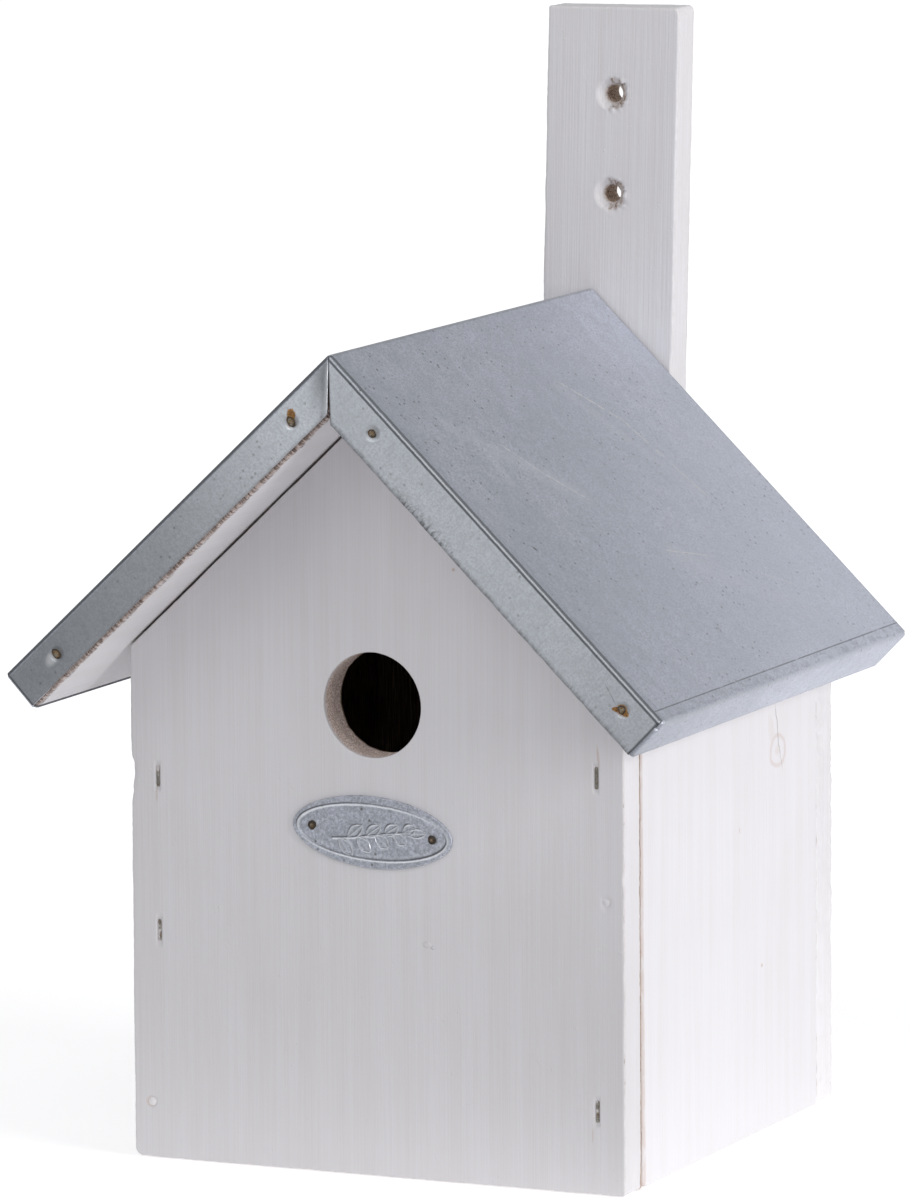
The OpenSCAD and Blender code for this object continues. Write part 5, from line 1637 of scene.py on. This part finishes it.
def build_plaque():
    """The plaque: an oval polar grid with a pressed line inside its rim and an embossed twig.
    The zinc is painted with light and shade along the relief's slopes: lit where they face the
    lower right and on raised parts, shaded where they face the upper left, at the rim's edge and in
    the dimple round each nail."""
    turn = np.linspace(0, 2 * math.pi, 520, endpoint=False)
    turn = turn - 0.30 * np.sin(2 * turn)
    q = np.concatenate([np.linspace(0, 0.80, 52)[1:], np.linspace(0.80, 1.0, 34)[1:]])
    reach = oval_reach(turn)[None, :]
    radius = q[:, None] * reach
    x, y = radius * np.cos(turn), radius * np.sin(turn)
    tilt = np.abs(np.gradient(reach[0], turn) / reach[0])
    inside = (reach - radius) / np.sqrt(1 + tilt ** 2)
    rolled = 0.30 * (1 - smooth(inside / 0.30))
    dents = 0.09 * noise(301, x / 4.5, y / 4.5) + 0.05 * noise(302, x / 1.4, y / 1.4)
    pressed = plaque_relief(x, y)
    dimple = np.zeros_like(x)
    for end in (-1, 1):
        dimple += 0.16 * bump(np.hypot(x - end * PLAQUE_NAILS / 2, y) / 2.2, 1)
    height = 0.80 - rolled + dents * smooth(inside / 2) + pressed - dimple
    # rise of the relief towards the lower right, which sets where it is painted shaded and where
    # lit
    painted_light_slope = plaque_relief(x + 0.14, y - 0.14) - plaque_relief(x - 0.14, y + 0.14)
    shell = Shell()
    top = np.stack([x, y, height], axis=-1)
    middle_height = float(height[0].mean())
    centre = shell.add(np.array([[0.0, 0.0, middle_height]]))
    grid = shell.add(top)
    shell.fan(grid[0], centre[0])
    shell.band(grid)
    rim = np.stack([x[-1], y[-1], np.full(x.shape[1], 0.02)], axis=-1)
    under = shell.add(np.stack([rim, rim * np.array([0.5, 0.5, 1.0])]))
    shell.band(np.concatenate([grid[-1:], under]))
    bottom = shell.add(np.array([[0.0, 0.0, 0.02]]))
    shell.fan(under[-1], bottom[0], flip=True)
    local = shell.all_points()
    c, s = math.cos(PLAQUE_TURN), math.sin(PLAQUE_TURN)
    points = placed(local, (PLAQUE[0], FRONT_Y, PLAQUE[1]), (c, 0, s), (-s, 0, c), (0, -1, 0))
    rest = np.zeros(len(local) - 1 - x.size)
    # painted light and shade of the relief, rim edge and nail dimple
    lit = 5.5 * np.clip(-painted_light_slope, 0, 1) + 0.9 * np.clip(pressed, 0, 1)
    dark = 6.5 * np.clip(painted_light_slope, 0, 1) + 0.30 * (1 - smooth(inside / 0.5)) + 1.2 * dimple
    high = np.concatenate([[0.0], lit.reshape(-1), rest])
    low = np.concatenate([[0.0], dark.reshape(-1), rest])
    item = make_object("plaque", points, shell.faces, galvanised("zinc_plaque", 2.2, plaque_marks),
                       {"fold": np.clip(high, 0, 0.9),
                                            "edge": np.clip(low, 0, 1)})
    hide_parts("oval_plaque")
    return item


def add_nail(shell, place, u_axis, v_axis, normal, head, rise, shank, length, seed, tilt,
             bent=0.0):
    """A nail as a turned profile: a domed head, a short neck and a shank. Noise makes the head
    uneven, tilt leans it, and bent draws it out from the upper left to the lower right, as a
    hammer bends it. A fourth column tells the distance from the head's middle."""
    turn = np.linspace(0, 2 * math.pi, 28, endpoint=False)
    r = head / 2
    profile = [(rise * (1 - (t * t) * 0.72), r * t) for t in (0.2, 0.4, 0.6, 0.78, 0.9, 0.97)]
    profile += [(0.16 * rise, r), (0.03, r * 0.96), (0.02, shank / 2 + 0.15), (-0.25, shank / 2),
                (-length * 0.5, shank / 2), (-length * 0.94, shank / 2), (-length, 0.12)]
    h = np.array([row[0] for row in profile])[:, None]
    radius = np.array([row[1] for row in profile])[:, None]
    on_head = h > 0.01
    rough = 1 + on_head * (0.14 * noise(seed, np.cos(turn) * 1.6 + 5, np.sin(turn) * 1.6)[None, :])
    across, along = radius * rough * np.cos(turn), radius * rough * np.sin(turn)
    drawn = on_head * bent * (across - along) / 2
    across, along = across + drawn, along - drawn
    lump = on_head * 0.10 * noise(seed + 3, across / 0.8, along / 0.8) * (radius / r)
    lean = on_head * across * tilt
    local = np.stack(np.broadcast_arrays(across, along, h + lump * (h > 0.1) + lean), axis=-1)
    body = placed(local.reshape(-1, 3), place, u_axis, v_axis, normal).reshape(local.shape)
    rim = np.broadcast_to(np.where(h > 0.1, radius / r, 1.0)[..., None], body[..., :1].shape)
    index = shell.add(np.concatenate([body, rim], axis=-1))
    ends = placed(np.array([[0, 0, rise], [0, 0, -length - 0.05]]), place, u_axis, v_axis, normal)
    ends = shell.add(np.concatenate([ends, [[0.0], [1.0]]], axis=-1))
    shell.fan(index[0], ends[0])
    shell.band(index)
    shell.fan(index[-1], ends[1], flip=True)


def build_nails():
    """Nails of the roof's flanges and of the plaque, each group in place of its CAD node."""
    rusty = rusty_steel("rusty_nail", 0.62, head=True)
    made = []
    for side, name in SIDE_NAMES.items():
        front = Shell()
        for count, run in enumerate(flange_nail_places()[side]):
            x, z = slope_point(side, RIDGE_RUN[side] + run, SHEET_TOP - NAIL_DROP)
            add_nail(front, (x, SHEET_FRONT, z), (1, 0, 0), (0, 0, 1), (0, -1, 0), *FLANGE_NAIL,
                     401 + count + 5 * side, 0.10 * (1 - count), 0.40 if side == LEFT else 0.08)
        made.append((name + "_roof_nails", front, (name + "_flange_nails",)))
    rear = Shell()
    for side in SIDES:
        for count, run in enumerate((52.0, SLOPE - 19.5)):
            x, z = slope_point(side, RIDGE_RUN[side] + run, SHEET_TOP - BACK_FLANGE / 2)
            add_nail(rear, (x, SHEET_BACK, z), (-1, 0, 0), (0, 0, 1), (0, 1, 0), *BACK_NAIL,
                     421 + count + 5 * side, 0.06)
    made.append(("back_roof_nails", rear, ("back_flange_nails",)))
    oval = Shell()
    c, s = math.cos(PLAQUE_TURN), math.sin(PLAQUE_TURN)
    for end in (-1, 1):
        place = (PLAQUE[0] + end * PLAQUE_NAILS / 2 * c, FRONT_Y - 0.72,
                 PLAQUE[1] + end * PLAQUE_NAILS / 2 * s)
        add_nail(oval, place, (c, 0, s), (-s, 0, c), (0, -1, 0), *PLAQUE_PIN, 441 + end,
                 0.12 * end)
    made.append(("plaque_pins", oval, ("plaque_nails",)))
    for name, shell, nodes in made:
        points = shell.all_points()
        # rim: the plaque's pins get a darker rim, more painted shade round their heads
        item = make_object(name, points, shell.faces, rusty,
                           {"rim": points[:, 3] + (0.35 if shell is oval else 0.0)})
        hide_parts(*nodes)


def add_staple(shell, place, along, normal):
    """A staple as a rounded square wire carried along legs, two bends and a back."""
    along, normal, place = (np.array(v, float) for v in (along, normal, place))
    side = np.cross(along, normal)
    r, half, top = 0.95, (STAPLE_BACK - STAPLE_WIRE) / 2, -STAPLE_SINK - STAPLE_WIRE / 2
    arc = np.radians(np.linspace(0, 90, 6))
    left = np.stack([-half + r - r * np.cos(arc), top - r + r * np.sin(arc)], axis=1)
    right = left[::-1] * np.array([-1, 1])
    legs = np.linspace(-STAPLE_SINK - STAPLE_LEG, top - r - 0.2, 6)
    middle = np.linspace(-half + r + 0.3, half - r - 0.3, 12)
    path = np.concatenate([np.stack([np.full(6, -half), legs], axis=1), left,
                           np.stack([middle, np.full(12, top)], axis=1), right,
                           np.stack([np.full(6, half), legs[::-1]], axis=1)])
    tangent = np.gradient(path, axis=0)
    tangent /= np.linalg.norm(tangent, axis=1)[:, None]
    turn = np.linspace(0, 2 * math.pi, 16, endpoint=False)
    c, s = np.cos(turn), np.sin(turn)
    square = 1 / np.maximum(np.abs(c), np.abs(s)) ** 0.62
    thick = STAPLE_WIRE / 2 * 0.93
    a, b = thick * c * square, thick * s * square
    out = np.stack([-tangent[:, 1], tangent[:, 0]], axis=1)
    plane = path[:, None, :] + out[:, None, :] * b[None, :, None]
    index = shell.add(place + plane[..., :1] * along + plane[..., 1:] * normal
                      + a[None, :, None] * side)
    ends = shell.add(place + path[[0, -1], :1] * along + path[[0, -1], 1:] * normal)
    shell.band(index)
    shell.fan(index[0], ends[0], flip=True)
    shell.fan(index[-1], ends[1])


def build_staples():
    """All staples: four in the front, six in the back and four round the floor."""
    old = rusty_steel("old_staple", 0.45, 0.35)
    steel = rusty_steel("steel_wire", 0.25, 0.30)
    groups = []
    for side, name in SIDE_NAMES.items():
        shell = Shell()
        for z in STAPLES[side]:
            add_staple(shell, (side * STAPLE_X, FRONT_Y, z), (0, 0, 1), (0, -1, 0))
        groups.append((name + "_staples", shell, name + "_front_staples", old))
    shell = Shell()
    for side in SIDES:
        for z in back_staple_heights(side):
            add_staple(shell, (side * PIN_X, BACK_Y, z), (0, 0, 1), (0, 1, 0))
    groups.append(("rear_staples", shell, "back_staples", steel))
    shell = Shell()
    for way in BASE_STAPLES:
        add_staple(shell, (way, BACK_Y, BASE_STAPLE_HEIGHT), (1, 0, 0), (0, 1, 0))
        add_staple(shell, (-WIDTH / 2, way, BASE_STAPLE_HEIGHT), (0, 1, 0), (-1, 0, 0))
    groups.append(("base_staples", shell, "floor_staples", steel))
    for name, shell, node, material in groups:
        item = make_object(name, shell.all_points(), shell.faces, material)
        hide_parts(node)


def build_pins():
    """The two painted pins of the front, with heads that end just under the board's face."""
    shell = Shell()
    for side in SIDES:
        add_nail(shell, (side * PIN_X, FRONT_Y + 0.42, PINS[side]), (1, 0, 0), (0, 0, 1),
                 (0, -1, 0), *PAINTED_PIN, 461 + side, 0.03)
    material = painted_wood("paint_pins", 5.0, 0.3)
    points = shell.all_points()
    item = make_object("painted_pins", points, shell.faces, material,
                       {"grain": points[:, [0, 2, 1]], "worn": np.full(len(points), 0.18)})
    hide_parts("front_pins")


def dress_hidden_steel():
    """Gives the nails under the sheet and the screws of the batten a worn steel finish."""
    for node, rust in (("roof_board_nails", 0.3), ("batten_screws", 0.4)):
        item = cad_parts[node]
        item.data.materials.clear()
        item.data.materials.append(rusty_steel("steel_" + node, rust))


# Stage


def add_light(name, direction, distance, size, power):
    """Square area light that stands in a direction from the box's middle and faces it."""
    data = bpy.data.lights.new(name, "AREA")
    data.energy, data.size = power, size
    item = bpy.data.objects.new(name, data)
    way = Vector(direction).normalized()
    item.location = Vector(LIGHTS_FACE) + way * distance
    item.rotation_euler = way.to_track_quat("Z", "Y").to_euler()
    bpy.context.scene.collection.objects.link(item)


def build_sky(strength):
    """Even light from all round."""
    world = bpy.data.worlds.new("studio_sky")
    world.use_nodes = True
    sky = world.node_tree.nodes["Background"]
    sky.inputs["Color"].default_value = SKY_COLOUR
    sky.inputs["Strength"].default_value = strength
    bpy.context.scene.world = world


def build_floor():
    """Round floor on a polar grid, much wider than the view."""
    turn = np.linspace(0, 2 * math.pi, 96, endpoint=False)
    radius = GROUND_RADIUS * np.linspace(0, 1, 25)[1:, None] ** 2
    shell = Shell()
    grid = shell.add(np.stack(np.broadcast_arrays(radius * np.cos(turn), radius * np.sin(turn),
                                                  GROUND_HEIGHT + 0 * turn), axis=-1))
    centre = shell.add(np.array([[0.0, 0.0, GROUND_HEIGHT]]))
    shell.fan(grid[0], centre[0])
    shell.band(grid)
    mesh = bpy.data.meshes.new("studio_floor")
    points = shell.all_points() * MM
    mesh.from_pydata(points.tolist(), [], [f for part in shell.faces for f in part.tolist()])
    mesh.materials.append(floor_finish())
    item = bpy.data.objects.new("studio_floor", mesh)
    bpy.context.scene.collection.objects.link(item)


def build_camera():
    """Camera from the fit of the photo: its turn round the box, height, roll, distance and
    focal length, all worked out from the box's corners."""
    level = math.cos(CAMERA_RISE)
    away = Vector((math.sin(CAMERA_TURN) * level, -math.cos(CAMERA_TURN) * level,
                   math.sin(CAMERA_RISE)))
    right = (-away).cross(Vector((0, 0, 1))).normalized()
    up = right.cross(-away)
    c, s = math.cos(CAMERA_ROLL), math.sin(CAMERA_ROLL)
    right, up = c * right + s * up, -s * right + c * up
    data = bpy.data.cameras.new("photo_camera")
    data.sensor_width, data.sensor_fit, data.lens = SENSOR, "AUTO", LENS
    data.clip_start, data.clip_end = 0.05, 60
    item = bpy.data.objects.new("photo_camera", data)
    turned = Matrix((right, up, away)).transposed().to_4x4()
    turned.translation = Vector(CAMERA_TARGET) * MM + away * CAMERA_DISTANCE * MM
    item.matrix_world = turned
    bpy.context.scene.collection.objects.link(item)
    bpy.context.scene.camera = item


# Add-on


class NestBoxSettings(bpy.types.PropertyGroup):
    """Settings that the operators share."""

    step: bpy.props.FloatProperty(
        name="Mesh step", description="Distance between mesh points on the boards, in millimetres",
        default=1.35, min=0.8, max=4.0)
    ragged: bpy.props.FloatProperty(
        name="Edge wear", description="How far worn edges are pushed in, in millimetres",
        default=0.2, min=0.0, max=0.6)
    sky: bpy.props.FloatProperty(
        name="Sky light", description="Strength of the even light from all round",
        default=0.44, min=0.0, max=2.0, subtype="FACTOR")
    key: bpy.props.FloatProperty(
        name="Key light", description="Power of the large light on the right",
        default=52.5, min=0.0, max=500.0, unit="POWER")


def settings():
    return bpy.context.scene.nest_box


class NESTBOX_OT_front(bpy.types.Operator):
    """Builds the front board with its entrance hole"""

    bl_idname = "nestbox.front"
    bl_label = "Front board"

    def execute(self, context):
        build_front_board(settings().step, settings().ragged)
        return {"FINISHED"}


class NESTBOX_OT_back(bpy.types.Operator):
    """Builds the back board with its splintery edges"""

    bl_idname = "nestbox.back"
    bl_label = "Back board"

    def execute(self, context):
        build_back_board(settings().step, settings().ragged)
        return {"FINISHED"}


class NESTBOX_OT_sides(bpy.types.Operator):
    """Builds the left and the right side board"""

    bl_idname = "nestbox.sides"
    bl_label = "Side boards"

    def execute(self, context):
        for side in SIDES:
            build_side_board(side, settings().step, settings().ragged)
        return {"FINISHED"}


class NESTBOX_OT_floor_board(bpy.types.Operator):
    """Builds the bare floor board"""

    bl_idname = "nestbox.floor_board"
    bl_label = "Floor board"

    def execute(self, context):
        build_floor_board(settings().step)
        return {"FINISHED"}


class NESTBOX_OT_roof_boards(bpy.types.Operator):
    """Builds the two roof boards"""

    bl_idname = "nestbox.roof_boards"
    bl_label = "Roof boards"

    def execute(self, context):
        for side in SIDES:
            build_roof_board(side, settings().step, settings().ragged)
        return {"FINISHED"}


class NESTBOX_OT_roof_sheet(bpy.types.Operator):
    """Folds the galvanised roof sheet"""

    bl_idname = "nestbox.roof_sheet"
    bl_label = "Roof sheet"

    def execute(self, context):
        build_roof_sheet(settings().step)
        return {"FINISHED"}


class NESTBOX_OT_batten(bpy.types.Operator):
    """Builds the hanging batten with its two holes"""

    bl_idname = "nestbox.batten"
    bl_label = "Hanging batten"

    def execute(self, context):
        build_batten(settings().step, settings().ragged)
        return {"FINISHED"}


class NESTBOX_OT_plaque(bpy.types.Operator):
    """Builds the oval plaque with its embossed twig"""

    bl_idname = "nestbox.plaque"
    bl_label = "Oval plaque"

    def execute(self, context):
        build_plaque()
        return {"FINISHED"}


class NESTBOX_OT_nails(bpy.types.Operator):
    """Builds the nails and the pins, and dresses the steel that stays CAD"""

    bl_idname = "nestbox.nails"
    bl_label = "Nails and screws"

    def execute(self, context):
        build_nails()
        build_pins()
        dress_hidden_steel()
        return {"FINISHED"}


class NESTBOX_OT_staples(bpy.types.Operator):
    """Builds all staples"""

    bl_idname = "nestbox.staples"
    bl_label = "Staples"

    def execute(self, context):
        build_staples()
        return {"FINISHED"}


class NESTBOX_OT_stage(bpy.types.Operator):
    """Builds the pale floor, the soft studio light and the camera"""

    bl_idname = "nestbox.stage"
    bl_label = "Stage, light and camera"

    def execute(self, context):
        build_floor()
        build_sky(settings().sky)
        add_light(*KEY_LIGHT, settings().key)
        for light in SOFT_LIGHTS:
            add_light(*light)
        build_camera()
        context.scene.view_settings.view_transform = "Standard"
        return {"FINISHED"}


STEPS = (
    NESTBOX_OT_front, NESTBOX_OT_back, NESTBOX_OT_sides, NESTBOX_OT_floor_board,
    NESTBOX_OT_roof_boards, NESTBOX_OT_roof_sheet, NESTBOX_OT_batten, NESTBOX_OT_plaque,
    NESTBOX_OT_nails, NESTBOX_OT_staples, NESTBOX_OT_stage,
)


class NESTBOX_PT_panel(bpy.types.Panel):
    """Settings and steps of the nest box"""

    bl_label = "Nest box"
    bl_idname = "NESTBOX_PT_panel"
    bl_space_type = "VIEW_3D"
    bl_region_type = "UI"
    bl_category = "Nest box"

    def draw(self, context):
        for name in ("step", "ragged", "sky", "key"):
            self.layout.prop(context.scene.nest_box, name)
        for step in STEPS:
            self.layout.operator(step.bl_idname)


CLASSES = (NestBoxSettings,) + STEPS + (NESTBOX_PT_panel,)


def register():
    for item in CLASSES:
        bpy.utils.register_class(item)
    bpy.types.Scene.nest_box = bpy.props.PointerProperty(type=NestBoxSettings)


def unregister():
    del bpy.types.Scene.nest_box
    for item in reversed(CLASSES):
        bpy.utils.unregister_class(item)


def main():
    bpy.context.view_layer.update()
    register()
    for step in STEPS:
        group, name = step.bl_idname.split(".")
        getattr(getattr(bpy.ops, group), name)()


if __name__ == "__main__":
    main()
